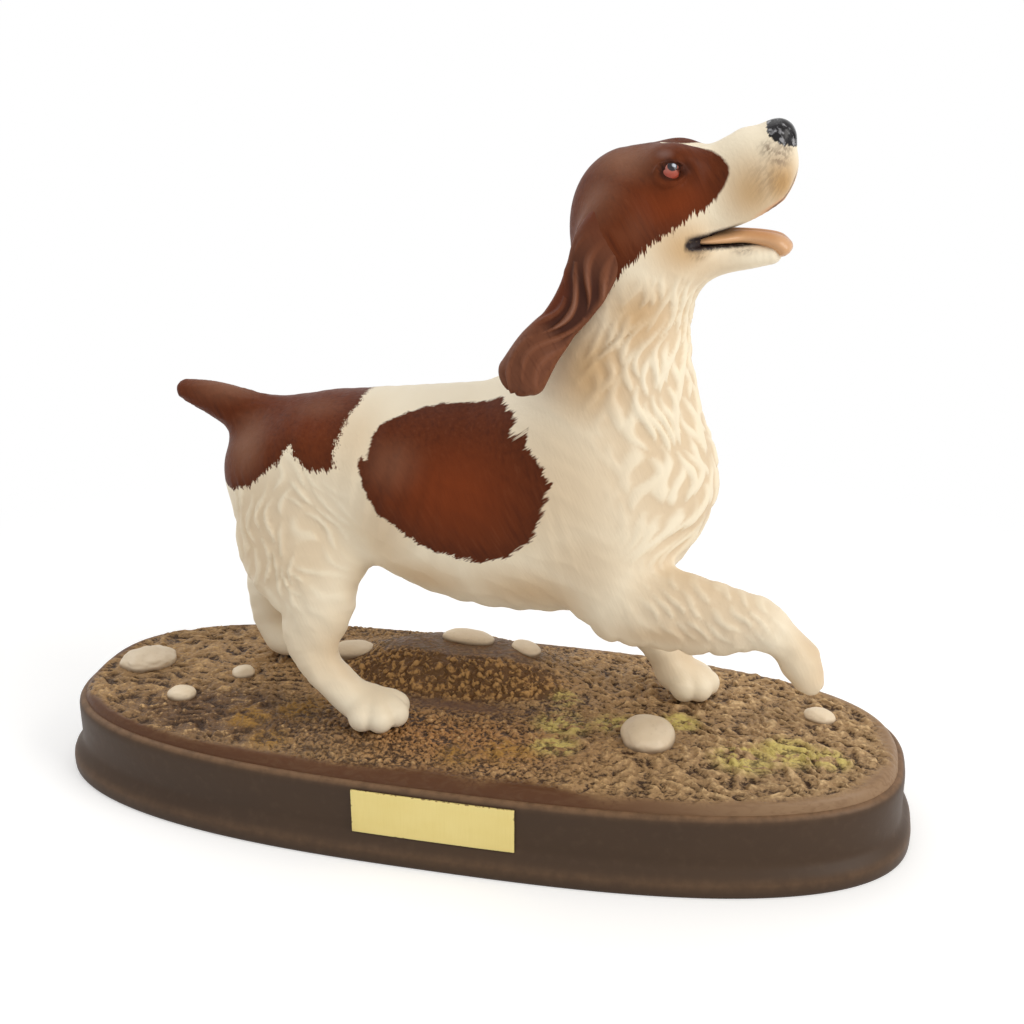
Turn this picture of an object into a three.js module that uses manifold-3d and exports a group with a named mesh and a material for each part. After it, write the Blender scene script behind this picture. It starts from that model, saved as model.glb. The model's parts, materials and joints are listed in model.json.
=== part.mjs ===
// A spaniel figurine on an oval plinth, as its caster makes it: separately cast pieces of the dog stuck
// together and cemented by three paws to a modelled ground, which drops into the rim of a hollow plinth.
// Millimetres, +Z up, +X towards the dog's nose, the origin under the middle of the plinth.
import * as THREE from "three";
import { mergeVertices } from "three/addons/utils/BufferGeometryUtils.js";
import Module from "manifold-3d";

const wasm = await Module();
wasm.setup();

// Plinth
const PLINTH_LENGTH = 273;
const PLINTH_WIDTH = 108;
const PLINTH_OVAL = 2.66; // exponent of the plan: 2 is an ellipse, more is squarer
const PLINTH_HEIGHT = 24; // up to the ledge that carries the ground
const PLINTH_WALL = 5;
const FOOT_PROJECTION = 3.3; // how far the foot stands out from the wall
const FOOT_CHAMFER = 0.6;
const PLINTH_SIDES = 52;

// Ground
const LEDGE_WIDTH = 2; // ledge left showing round the ground
const GROUND_RISE = 3; // shoulder of the ground above the ledge
const GROUND_CROWN = 1.6; // further rise towards the middle
const GROUND_WALL = 5;
const SPIGOT_DEPTH = 4.5; // rim that locates the ground inside the plinth
const SPIGOT_WALL = 4;
const MOUND_HEIGHT = 8;
const MOUND_LENGTH = 104;
const MOUND_WIDTH = 54;
const MOUND_AT = new THREE.Vector2(-10, 20);

// Fits
const JOINT_GAP = 0.3; // slip or cement line between two pieces
const GRID = 0.01; // to which cut corners are rounded

// Name plate
const PLATE_LENGTH = 49;
const PLATE_HEIGHT = 14;
const PLATE_THICKNESS = 0.6;
const PLATE_BELOW_LEDGE = 1.5;
const PLATE_ABOVE_FOOT = 0.1;

// Dog
const DOG_HEIGHT = 180; // from the ground under its paws to the top of its nose

// How far the castings run into each other
const NECK_FILLET = 14;
const LIMB_FILLET = 6;
const TAIL_FILLET = 6;
const TOE_FILLET = 1.4;

// Facet size of each casting
const BODY_FACET = 6.2;
const HEAD_FACET = 3.4;
const LIMB_FACET = 3.8;
const EAR_FACET = 3.2;
const TAIL_FACET = 2.8;
const MOUTH_FACET = 1.7;
const SEAM_FACET = 6;

// Colours and finishes
const glaze = (color, roughness = 0.45) => new THREE.MeshStandardMaterial({ color, roughness, metalness: 0 });
const CREAM = glaze(0xe6d6b8);
const LIVER = glaze(0x5e3020);
const FLESH = glaze(0xd79a72);
const EARTH = glaze(0x6b5138, 0.7);
const STONE = glaze(0xd8c6a8, 0.6);
const UMBER = glaze(0x45352a, 0.4);
const BRASS = new THREE.MeshStandardMaterial({ color: 0xd9c072, roughness: 0.35, metalness: 0.6 });

const figurine = new THREE.Group();

function add(name, geometry, material, z = 0) {
  const mesh = new THREE.Mesh(geometry, material);
  mesh.name = name;
  mesh.position.z = z;
  figurine.add(mesh);
  return mesh;
}

// Solids for cutting

function solidOf(geometry) {
  const bare = geometry.clone();
  bare.deleteAttribute("normal");
  bare.deleteAttribute("uv");
  const merged = mergeVertices(bare, 1e-4);
  const vertProperties = new Float32Array(merged.attributes.position.array);
  const triVerts = new Uint32Array(merged.index.array);
  return new wasm.Manifold(new wasm.Mesh({ numProp: 3, vertProperties, triVerts }));
}

// Corners are rounded to a fine grid, and the slivers that this closes up are left out.
function geometryOf(solid) {
  const mesh = solid.getMesh();
  const rounded = Array.from(mesh.vertProperties, (value) => Math.round(value / GRID) * GRID);
  const loose = new THREE.BufferGeometry();
  loose.setAttribute("position", new THREE.Float32BufferAttribute(rounded, mesh.numProp));
  loose.setIndex([...mesh.triVerts]);
  const geometry = mergeVertices(loose, GRID / 10);
  const corners = geometry.index.array;
  const kept = new Map();
  for (let i = 0; i < corners.length; i += 3) {
    const face = [...corners.slice(i, i + 3)];
    if (new Set(face).size < 3) continue;
    const key = [...face].sort((a, b) => a - b).join();
    if (!kept.delete(key)) kept.set(key, face);
  }
  geometry.setIndex([...kept.values()].flat());
  return geometry;
}

function cut(geometry, ...tools) {
  return geometryOf(tools.reduce((solid, tool) => solid.subtract(solidOf(tool)), solidOf(geometry)));
}

const common = (one, other) => geometryOf(solidOf(one).intersect(solidOf(other)));

// The plinth and the ground are rings of one oval, joined from the middle of one face to the other

function oval(turn, inset) {
  const blunt = (wave) => Math.sign(wave) * Math.abs(wave) ** (2 / PLINTH_OVAL);
  const x = (PLINTH_LENGTH / 2 - inset) * blunt(Math.cos(turn));
  const y = (PLINTH_WIDTH / 2 - inset) * blunt(Math.sin(turn));
  return [x, y];
}

// Rings of equal point counts, each a function of the turn, and closed at poles or back to the first ring.
function ringed(rings, { start = null, end = null } = {}) {
  const points = [];
  const faces = [];
  const at = (ring, side) => ring * PLINTH_SIDES + (side % PLINTH_SIDES);
  for (const ring of rings) {
    for (let side = 0; side < PLINTH_SIDES; side++) points.push(...ring((side / PLINTH_SIDES) * 2 * Math.PI));
  }
  const last = start ? rings.length - 1 : rings.length;
  for (let ring = 0; ring < last; ring++) {
    const next = (ring + 1) % rings.length;
    for (let side = 0; side < PLINTH_SIDES; side++) {
      faces.push(at(ring, side), at(ring, side + 1), at(next, side + 1));
      faces.push(at(ring, side), at(next, side + 1), at(next, side));
    }
  }
  if (start) {
    const pole = points.push(...start, ...end) / 3 - 2;
    for (let side = 0; side < PLINTH_SIDES; side++) {
      faces.push(pole, at(0, side + 1), at(0, side));
      faces.push(pole + 1, at(rings.length - 1, side), at(rings.length - 1, side + 1));
    }
  }
  const geometry = new THREE.BufferGeometry();
  geometry.setAttribute("position", new THREE.Float32BufferAttribute(points, 3));
  geometry.setIndex(faces);
  return geometry;
}

const level = (inset, z) => (turn) => [...oval(turn, inset), z];

// The foot moulding takes what the name plate leaves of the wall.
const footHeight = PLINTH_HEIGHT - PLATE_BELOW_LEDGE - PLATE_HEIGHT - PLATE_ABOVE_FOOT;
const wallInset = FOOT_PROJECTION;
const hollowInset = wallInset + PLINTH_WALL;

function plinth() {
  const foot = FOOT_PROJECTION;
  return ringed([
    level(foot + PLINTH_WALL, 0),
    level(FOOT_CHAMFER, 0),
    level(FOOT_CHAMFER * 0.2, footHeight * 0.14),
    level(0, footHeight * 0.4),
    level(foot * 0.12, footHeight * 0.6),
    level(foot * 0.5, footHeight * 0.78),
    level(foot * 0.88, footHeight * 0.92),
    level(wallInset, footHeight),
    level(wallInset, PLINTH_HEIGHT - 1),
    level(wallInset + 0.3, PLINTH_HEIGHT - 0.3),
    level(wallInset + 1, PLINTH_HEIGHT),
    level(hollowInset, PLINTH_HEIGHT),
  ]);
}

const shoulderInset = wallInset + LEDGE_WIDTH;
const shoulderZ = PLINTH_HEIGHT + GROUND_RISE;
const GROUND_SHARES = [0.14, 0.28, 0.42, 0.55, 0.68, 0.8, 0.9, 0.97];

function groundZ(x, y) {
  const reach = Math.hypot(x / (PLINTH_LENGTH / 2), y / (PLINTH_WIDTH / 2));
  const along = (x - MOUND_AT.x) / (MOUND_LENGTH / 2);
  const across = (y - MOUND_AT.y) / (MOUND_WIDTH / 2);
  const mound = MOUND_HEIGHT * THREE.MathUtils.smoothstep(1 - Math.hypot(along, across), 0, 0.75);
  return shoulderZ + GROUND_CROWN * THREE.MathUtils.smoothstep(1 - reach, 0, 0.5) + mound;
}

const peak = (drop) => [MOUND_AT.x, MOUND_AT.y, groundZ(MOUND_AT.x, MOUND_AT.y) - drop];

// A ring part of the way from the mound's top to the ground's edge.
const landRing = (share, drop, inset = shoulderInset) => (turn) => {
  const [x, y] = new THREE.Vector2(...oval(turn, inset)).sub(MOUND_AT).multiplyScalar(share).add(MOUND_AT);
  return [x, y, groundZ(x, y) - drop];
};

function ground() {
  const spigotInset = hollowInset + JOINT_GAP;
  const underInset = spigotInset + SPIGOT_WALL;
  const underZ = PLINTH_HEIGHT - SPIGOT_DEPTH;
  const seatZ = PLINTH_HEIGHT + JOINT_GAP;
  return ringed(
    [
      ...[0.25, 0.5, 0.75, 1].map((share) => landRing(share, GROUND_WALL, underInset)),
      level(underInset, underZ),
      level(spigotInset, underZ),
      level(spigotInset, seatZ),
      level(shoulderInset, seatZ),
      level(shoulderInset - 0.2, seatZ + GROUND_RISE * 0.45),
      ...[...GROUND_SHARES].reverse().map((share) => landRing(share, 0)),
    ],
    { start: peak(GROUND_WALL), end: peak(0) },
  );
}

// Everything under the ground's surface, raised by the cement line, for cutting what stands on it.
function earth() {
  const rings = [level(shoulderInset, 0), level(shoulderInset, shoulderZ - 0.1)];
  const land = [...GROUND_SHARES].reverse().map((share) => landRing(share, 0));
  const start = [MOUND_AT.x, MOUND_AT.y, 0];
  return ringed([...rings, ...land], { start, end: peak(0) }).translate(0, 0, JOINT_GAP);
}

function namePlate() {
  const strip = new THREE.Shape();
  const face = [];
  const steps = 12;
  for (let step = 0; step <= steps; step++) {
    const x = (step / steps - 0.5) * PLATE_LENGTH;
    const long = Math.abs(x / (PLINTH_LENGTH / 2 - wallInset)) ** PLINTH_OVAL;
    face.push(new THREE.Vector2(x, -(PLINTH_WIDTH / 2 - wallInset) * (1 - long) ** (1 / PLINTH_OVAL)));
  }
  const out = (distance) => face.map((p) => new THREE.Vector2(p.x, p.y - distance));
  strip.setFromPoints([...out(JOINT_GAP + PLATE_THICKNESS), ...out(JOINT_GAP).reverse()]);
  return new THREE.ExtrudeGeometry(strip, { depth: PLATE_HEIGHT, bevelEnabled: false });
}

// Castings: each form is a distance from its surface, negative inside, and the box that holds it.
// Their stations and sizes are written for a dog 180 high, and follow the height it is made to.

const toHeight = (values) => values.map((value) => (value * DOG_HEIGHT) / 180);

const boxOf = (points, reach) => new THREE.Box3().setFromPoints(points).expandByScalar(reach);

// Stations along a spine: x, y, z, then half the height and half the width of the oval section there.
function limb(...written) {
  const stations = written.map(toHeight);
  const spine = new THREE.CatmullRomCurve3(stations.map(([x, y, z]) => new THREE.Vector3(x, y, z)));
  const sections = stations.map(([, , , tall, wide]) => new THREE.Vector3(tall, wide, 0));
  const girth = new THREE.CatmullRomCurve3(sections);
  const steps = (stations.length - 1) * 4;
  const at = spine.getPoints(steps);
  const size = girth.getPoints(steps);
  const distance = (x, y, z) => {
    let nearest = Infinity;
    for (let i = 0; i < steps; i++) {
      const [a, b, s, e] = [at[i], at[i + 1], size[i], size[i + 1]];
      const stretch = (s.x + e.x) / (s.y + e.y);
      const [dx, dy, dz] = [b.x - a.x, (b.y - a.y) * stretch, b.z - a.z];
      const [px, py, pz] = [x - a.x, (y - a.y) * stretch, z - a.z];
      const along = THREE.MathUtils.clamp((px * dx + py * dy + pz * dz) / (dx * dx + dy * dy + dz * dz), 0, 1);
      const radius = s.x + (e.x - s.x) * along;
      const wide = s.y + (e.y - s.y) * along;
      const off = Math.hypot(px - dx * along, py - dy * along, pz - dz * along) - radius;
      nearest = Math.min(nearest, off * Math.min(1, wide / radius));
    }
    return nearest;
  };
  return { distance, box: boxOf(at, Math.max(...size.map((s) => Math.max(s.x, s.y)))) };
}

// An ellipsoid at a point, pitched nose up by an angle in degrees.
function lump(centre, radii, pitch = 0) {
  const [cx, cy, cz] = toHeight(centre);
  const [rx, ry, rz] = toHeight(radii);
  const [cos, sin] = [Math.cos(THREE.MathUtils.degToRad(pitch)), Math.sin(THREE.MathUtils.degToRad(pitch))];
  const distance = (x, y, z) => {
    const [dx, dy, dz] = [x - cx, y - cy, z - cz];
    const [u, v, w] = [dx * cos + dz * sin, dy, dz * cos - dx * sin];
    const near = Math.hypot(u / rx, v / ry, w / rz);
    const steep = Math.hypot(u / rx ** 2, v / ry ** 2, w / rz ** 2);
    return steep > 0 ? (near * (near - 1)) / steep : -Math.min(rx, ry, rz);
  };
  return { distance, box: boxOf([new THREE.Vector3(cx, cy, cz)], Math.max(rx, ry, rz)) };
}

const softMin = (a, b, fillet) => {
  const share = Math.max(fillet - Math.abs(a - b), 0) / fillet;
  return Math.min(a, b) - (share * share * fillet) / 4;
};

function blend(fillet, ...forms) {
  const distance = (x, y, z) =>
    forms.reduce((sum, form) => softMin(sum, form.distance(x, y, z), fillet), Infinity);
  return { distance, box: forms.reduce((box, form) => box.clone().union(form.box), forms[0].box) };
}

const mirrored = (form) => ({
  distance: (x, y, z) => form.distance(x, -y, z),
  box: new THREE.Box3(
    new THREE.Vector3(form.box.min.x, -form.box.max.y, form.box.min.z),
    new THREE.Vector3(form.box.max.x, -form.box.min.y, form.box.max.z),
  ),
});

const pair = (form) => blend(0.01, form, mirrored(form));

const hollowed = (form, tool) => ({
  distance: (x, y, z) => Math.max(form.distance(x, y, z), -tool.distance(x, y, z)),
  box: form.box,
});

const outsideBox = ({ min, max }, x, y, z) =>
  Math.max(min.x - x, x - max.x, min.y - y, y - max.y, min.z - z, z - max.z);

// Fills grid faces that are inside at two opposite corners only, where two surfaces would share an edge.
function fillPinches(value, count, index, depth) {
  const sides = [[[1, 0, 0], [0, 1, 0]], [[1, 0, 0], [0, 0, 1]], [[0, 1, 0], [0, 0, 1]]];
  let pinched = true;
  while (pinched) {
    pinched = false;
    for (let k = 0; k < count.z - 1; k++) {
      for (let j = 0; j < count.y - 1; j++) {
        for (let i = 0; i < count.x - 1; i++) {
          for (const [u, v] of sides) {
            const face = [
              index(i, j, k),
              index(i + u[0], j + u[1], k + u[2]),
              index(i + v[0], j + v[1], k + v[2]),
              index(i + u[0] + v[0], j + u[1] + v[1], k + u[2] + v[2]),
            ];
            const [a, b, c, d] = face.map((corner) => value[corner] < 0);
            if (a !== d || b !== c || a === b) continue;
            for (const corner of face) value[corner] = Math.min(value[corner], depth);
            pinched = true;
          }
        }
      }
    }
  }
}

// A closed facet skin where the distance is zero, one point in each cell that the surface crosses.
function skin({ distance, box }, cell) {
  const low = box.min.clone().subScalar(1.7 * cell);
  const count = box.getSize(new THREE.Vector3()).divideScalar(cell).addScalar(5).floor();
  const index = (i, j, k) => (k * count.y + j) * count.x + i;
  const value = new Float64Array(count.x * count.y * count.z);
  for (let k = 0; k < count.z; k++) {
    for (let j = 0; j < count.y; j++) {
      for (let i = 0; i < count.x; i++) {
        value[index(i, j, k)] = distance(low.x + i * cell, low.y + j * cell, low.z + k * cell);
      }
    }
  }
  fillPinches(value, count, index, -0.05 * cell);
  const points = [];
  const pointOf = new Map();
  const corners = [0, 1, 2, 3, 4, 5, 6, 7].map((c) => [c & 1, (c >> 1) & 1, c >> 2]);
  const pointIn = (i, j, k) => {
    const key = index(i, j, k);
    if (pointOf.has(key)) return pointOf.get(key);
    const sum = new THREE.Vector3();
    let crossings = 0;
    for (const [a, b, c] of corners) {
      for (const [da, db, dc] of [[1, 0, 0], [0, 1, 0], [0, 0, 1]]) {
        if (a + da > 1 || b + db > 1 || c + dc > 1) continue;
        const here = value[index(i + a, j + b, k + c)];
        const there = value[index(i + a + da, j + b + db, k + c + dc)];
        if (here < 0 === there < 0) continue;
        const share = here / (here - there);
        sum.add(new THREE.Vector3(i + a + da * share, j + b + db * share, k + c + dc * share));
        crossings++;
      }
    }
    const point = sum.divideScalar(crossings).multiplyScalar(cell).add(low);
    const number = points.push(point.x, point.y, point.z) / 3 - 1;
    pointOf.set(key, number);
    return number;
  };
  const faces = [];
  const quad = (a, b, c, d, inside) => faces.push(...(inside ? [a, b, c, a, c, d] : [a, c, b, a, d, c]));
  for (let k = 1; k < count.z - 1; k++) {
    for (let j = 1; j < count.y - 1; j++) {
      for (let i = 1; i < count.x - 1; i++) {
        const inside = value[index(i, j, k)] < 0;
        if (inside !== value[index(i + 1, j, k)] < 0) {
          quad(pointIn(i, j - 1, k - 1), pointIn(i, j, k - 1), pointIn(i, j, k), pointIn(i, j - 1, k), inside);
        }
        if (inside !== value[index(i, j + 1, k)] < 0) {
          quad(pointIn(i - 1, j, k - 1), pointIn(i - 1, j, k), pointIn(i, j, k), pointIn(i, j, k - 1), inside);
        }
        if (inside !== value[index(i, j, k + 1)] < 0) {
          quad(pointIn(i - 1, j - 1, k), pointIn(i, j - 1, k), pointIn(i, j, k), pointIn(i - 1, j, k), inside);
        }
      }
    }
  }
  const geometry = new THREE.BufferGeometry();
  geometry.setAttribute("position", new THREE.Float32BufferAttribute(points, 3));
  geometry.setIndex(faces);
  return geometry;
}

// The dog, in its own frame: z is above the ground under its paws

function toes([x, y, z], heading) {
  const [cos, sin] = [Math.cos(THREE.MathUtils.degToRad(heading)), Math.sin(THREE.MathUtils.degToRad(heading))];
  const each = [-1.5, -0.5, 0.5, 1.5].map((place) => {
    const ahead = 7.6 - Math.abs(place) * 1.7;
    const aside = place * 4.2;
    return lump([x + ahead * cos - aside * sin, y + ahead * sin + aside * cos, z], [5.6, 2.8, 4.8]);
  });
  return blend(TOE_FILLET, ...each);
}

const torsoForm = blend(
  NECK_FILLET,
  limb([-61, 0, 73.6, 17.4, 19.6], [-48, 0, 75.2, 22, 24], [-30, 0, 74.2, 25.6, 26], [-8, 0, 70.4, 32, 28.5],
    [14, 0, 70.2, 34.6, 30], [34, 0, 72.6, 33.4, 29.5], [50, 0, 77.5, 22.6, 24]),
  limb([36, 0, 86, 27, 27], [40, 0, 103, 25, 25], [42, 0, 118, 21, 22], [45.4, 0, 132, 17, 18.5],
    [47, 0, 143, 15, 16.5]),
);

const muzzle = limb([60, 0, 161, 11.6, 11], [69, 0, 163.8, 11, 9.6], [77, 0, 167.4, 10.6, 8.8],
  [79.4, 0, 169, 9.8, 8.2]);
const skull = limb([46, 0, 156.6, 16, 15.2], [54, 0, 159, 15, 13.6]);
const brows = pair(lump([56.5, 8.4, 167.6], [6.4, 4.4, 5.4], 20));
const flews = pair(lump([76, 4.6, 160.4], [10.6, 4.4, 6.6], 27));
const jowls = pair(lump([53, 5, 147.5], [11.5, 8.5, 9], 10));
const jaw = limb([56, 0, 145, 5.6, 8.6], [66, 0, 144, 4.8, 7.8], [76, 0, 144.6, 4, 6.8],
  [83.6, 0, 145.4, 3, 5]);
const nosePad = lump([84.6, 0, 175.9], [4.9, 5.2, 4.8], 30);
const mouth = limb([64, 0, 149, 0.6, 24], [70, 0, 149.6, 1.5, 24], [76, 0, 150.8, 2.6, 24],
  [82, 0, 152.6, 4, 24], [91, 0, 154.4, 7.4, 24]);
const headForm = hollowed(blend(2, blend(6, skull, muzzle, brows, flews, jowls, jaw), nosePad), mouth);

const tongueForm = limb([66, 0, 149, 2, 4.6], [73, 0, 149.6, 2.1, 5.2], [80, 0, 149.9, 2.2, 5.4],
  [85.5, 0, 148.6, 2.2, 5], [88.4, 0, 146.2, 1.9, 4]);

const tailForm = limb([-62, 0, 86, 8.6, 8], [-74, 0, 91, 6.6, 6.2], [-80.5, 0, 93.4, 5.4, 5.2],
  [-87, 0, 95.2, 4.2, 4.2], [-91, 0, 96.2, 3.2, 3.2]);

const earForm = limb([42, -16.5, 155, 4.6, 3.4], [40, -18.5, 149.5, 7, 3.6], [38.3, -20, 142, 7.6, 3.6],
  [34.8, -21.4, 134.5, 7.2, 3.6], [29.2, -22.8, 126.5, 6.7, 3.6], [24, -24, 119.3, 6.5, 3.5],
  [20.8, -25, 113.4, 6, 3.3]);

const hindRight = blend(
  TOE_FILLET,
  blend(
    LIMB_FILLET,
    limb([-50, -11, 67, 18, 11], [-50.4, -15, 58, 20, 12], [-47, -18, 46.5, 15.4, 11],
      [-43.6, -20, 37, 11.8, 9], [-46, -21, 27, 8.8, 7.4], [-42, -21.8, 17.5, 7.6, 6.8], [-33, -22.4, 9.4, 6.8, 7.2]),
    lump([-60, -15, 50], [7.5, 7, 9], 20),
    lump([-28, -22.8, 6.6], [8.4, 8, 6.4], -18),
  ),
  toes([-26.5, -23.2, 4.6], -10),
);
const hindLeft = blend(
  TOE_FILLET,
  blend(
    LIMB_FILLET,
    limb([-50, 11, 66, 17, 11], [-56, 15, 55, 17, 11], [-67, 16.5, 41, 11, 8.6], [-75.5, 17, 27, 7.4, 6.6],
      [-75.5, 17, 14, 6.2, 6.2], [-72, 17, 6.6, 6, 7]),
    lump([-68, 17, 5.6], [8, 7.6, 5.8], -12),
  ),
  toes([-66, 17, 4.6], 0),
);
const foreRight = blend(
  LIMB_FILLET,
  limb([43, -16, 68, 16, 11], [46, -19, 52.6, 13.6, 10.5], [54, -20, 48, 12.2, 9.6],
    [66, -20.5, 47, 11.2, 8.8], [79, -20.5, 45.6, 9.4, 7.6], [87.2, -20, 45, 7.4, 6.8],
    [94, -19.5, 40.4, 5.8, 6], [99.4, -19, 34.4, 4.8, 5.8]),
  limb([100.4, -19, 33, 4.6, 6.4], [103.2, -19, 28.8, 4, 6.2]),
);
const foreLeft = blend(
  TOE_FILLET,
  blend(
    LIMB_FILLET,
    limb([43, 16, 66, 16, 11], [39, 18, 50, 13, 10], [45, 18, 32.4, 11, 8.4], [55, 18, 20, 8.6, 7.2],
      [61, 18, 10, 7, 7]),
    lump([64.5, 18, 6.4], [8, 7.6, 6.2], -15),
  ),
  toes([66, 18, 4.6], 6),
);

// The limbs and the head are parted from the torso half way between their forms, by one seam for both.
const limbs = {
  head: headForm,
  tail: tailForm,
  leg_hind_right: hindRight,
  leg_hind_left: hindLeft,
  leg_fore_right: foreRight,
  leg_fore_left: foreLeft,
};

const trunk = blend(NECK_FILLET, torsoForm, headForm);
const wholeDog = hollowed(
  blend(LIMB_FILLET, blend(TAIL_FILLET, trunk, tailForm), hindRight, hindLeft, foreRight, foreLeft),
  mouth,
);

const within = (form, box) => ({
  distance: (x, y, z) => Math.max(form.distance(x, y, z), outsideBox(box, x, y, z)),
  box,
});

const grown = (form, margin) => ({
  distance: (x, y, z) => form.distance(x, y, z) - margin,
  box: form.box.clone().expandByScalar(Math.max(margin, 0)),
});

// The room nearer to this limb than to the rest.
function share(name) {
  const rest = [torsoForm, ...Object.keys(limbs).filter((key) => key !== name).map((key) => limbs[key])];
  const near = (x, y, z) => {
    const rival = Math.min(...rest.map((form) => form.distance(x, y, z)));
    return (limbs[name].distance(x, y, z) - rival) / 2;
  };
  return skin(within({ distance: near }, limbs[name].box.clone().expandByScalar(3)), SEAM_FACET);
}

function drawnIn(geometry, distance) {
  geometry.computeVertexNormals();
  const { position, normal } = geometry.attributes;
  const point = new THREE.Vector3();
  const out = new THREE.Vector3();
  for (let i = 0; i < position.count; i++) {
    point.fromBufferAttribute(position, i).addScaledVector(out.fromBufferAttribute(normal, i), -distance);
    position.setXYZ(i, ...point);
  }
  return geometry;
}

function limbCasting(name, facet) {
  const room = limbs[name].box.clone().expandByScalar(3 + 2 * SEAM_FACET);
  return common(skin(within(wholeDog, room), facet), drawnIn(share(name), JOINT_GAP));
}

function torsoCasting() {
  const surface = skin(within(wholeDog, torsoForm.box.clone().expandByScalar(3)), BODY_FACET);
  return cut(surface, ...Object.keys(limbs).map(share));
}

// What lies against a finished casting, cut to clear it by the joint gap all round.
function laidOn(casting, form, facet) {
  const steps = [-JOINT_GAP, JOINT_GAP].flatMap((gap) => [[gap, 0, 0], [0, gap, 0], [0, 0, gap]]);
  return cut(skin(form, facet), ...steps.map((step) => casting.clone().translate(...step)));
}

// An ear lies along the head and the neck, so it clears the whole dog by a joint gap on either side.
function earCasting(form) {
  const room = form.box.clone().expandByScalar(2 * EAR_FACET);
  return cut(skin(form, EAR_FACET), skin(within(grown(wholeDog, 2 * JOINT_GAP), room), EAR_FACET));
}

// Hollows left by the slip
function hollow(at, half) {
  return new THREE.SphereGeometry(1, 16, 10).scale(...toHeight(half)).translate(...toHeight(at));
}

function duct(from, to, width) {
  const [start, end] = [new THREE.Vector3(...toHeight(from)), new THREE.Vector3(...toHeight(to))];
  const [radius] = toHeight([width / 2]);
  const axis = end.clone().sub(start);
  const turn = new THREE.Quaternion().setFromUnitVectors(new THREE.Vector3(0, 1, 0), axis.clone().normalize());
  const middle = start.clone().addScaledVector(axis, 0.5);
  const tube = new THREE.CylinderGeometry(radius, radius, axis.length(), 16);
  return tube.applyQuaternion(turn).translate(...middle.toArray());
}

// Pebbles: some lie among the paws and some out at the ends of the plinth. Each has its half sizes and
// the turn of its long axis.

const amongPaws = (x, y) => toHeight([x, y]);
const towardsEnd = (along, across) => [(along * PLINTH_LENGTH) / 2, (across * PLINTH_WIDTH) / 2];

const PEBBLES = [
  { place: towardsEnd(-0.828, 0.037), half: [11, 8, 4.5], turn: 25 },
  { place: towardsEnd(-0.681, -0.333), half: [6, 4.5, 3.2], turn: 10 },
  { place: amongPaws(-79, -1), half: [4.6, 4, 3], turn: 30 },
  { place: amongPaws(-47, 18), half: [7, 4.5, 3.4], turn: 15 },
  { place: amongPaws(-9, 25), half: [9.5, 4, 3], turn: -4 },
  { place: amongPaws(11, 24), half: [7, 3.8, 2.8], turn: -35 },
  { place: amongPaws(57, -12), half: [8.2, 9.5, 5], turn: 10 },
  { place: towardsEnd(0.784, 0.259), half: [5.6, 4, 3], turn: -25 },
];

function pebble({ place: [x, y], half, turn }) {
  const stone = new THREE.SphereGeometry(1, 12, 7).rotateX(Math.PI / 2).scale(...half);
  stone.rotateZ(THREE.MathUtils.degToRad(turn)).translate(x, y, groundZ(x, y) + half[2] * 0.15);
  return cut(stone, earth());
}

// Assembly

add("plinth", plinth(), UMBER);
add("ground", ground(), EARTH);
add("name_plate", namePlate(), BRASS, PLINTH_HEIGHT - PLATE_BELOW_LEDGE - PLATE_HEIGHT);

const standZ = shoulderZ + GROUND_CROWN;
const standing = (geometry) => cut(geometry, earth().translate(0, 0, -standZ));
const bodyHollow = hollow([2, 0, 72], [44, 18, 21]);
const neckDuct = duct([30, 0, 78], [47, 0, 154], 16);
const skullHollow = hollow([47, 0, 156], [10, 9, 8]);

const torso = cut(torsoCasting(), bodyHollow, neckDuct);
const head = cut(limbCasting("head", HEAD_FACET), skullHollow, neckDuct);

add("torso", torso, CREAM, standZ);
add("head", head, CREAM, standZ);
add("tail", limbCasting("tail", TAIL_FACET), LIVER, standZ);
for (const leg of ["leg_hind_right", "leg_hind_left", "leg_fore_right", "leg_fore_left"]) {
  add(leg, standing(limbCasting(leg, LIMB_FACET)), CREAM, standZ);
}
add("ear_right", earCasting(earForm), LIVER, standZ);
add("ear_left", earCasting(mirrored(earForm)), LIVER, standZ);
add("tongue", laidOn(head, tongueForm, MOUTH_FACET), FLESH, standZ);
PEBBLES.forEach((stone, i) => add(`pebble_${i + 1}`, pebble(stone), STONE));

export default figurine;
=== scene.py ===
# A glazed spaniel on an oval plinth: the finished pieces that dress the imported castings.
# Shapes are worked in millimetres, the dog's from the ground under its paws, and laid down in metres.
import json
import math
from contextlib import contextmanager

import bpy
import numpy as np
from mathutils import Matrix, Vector, noise

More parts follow.
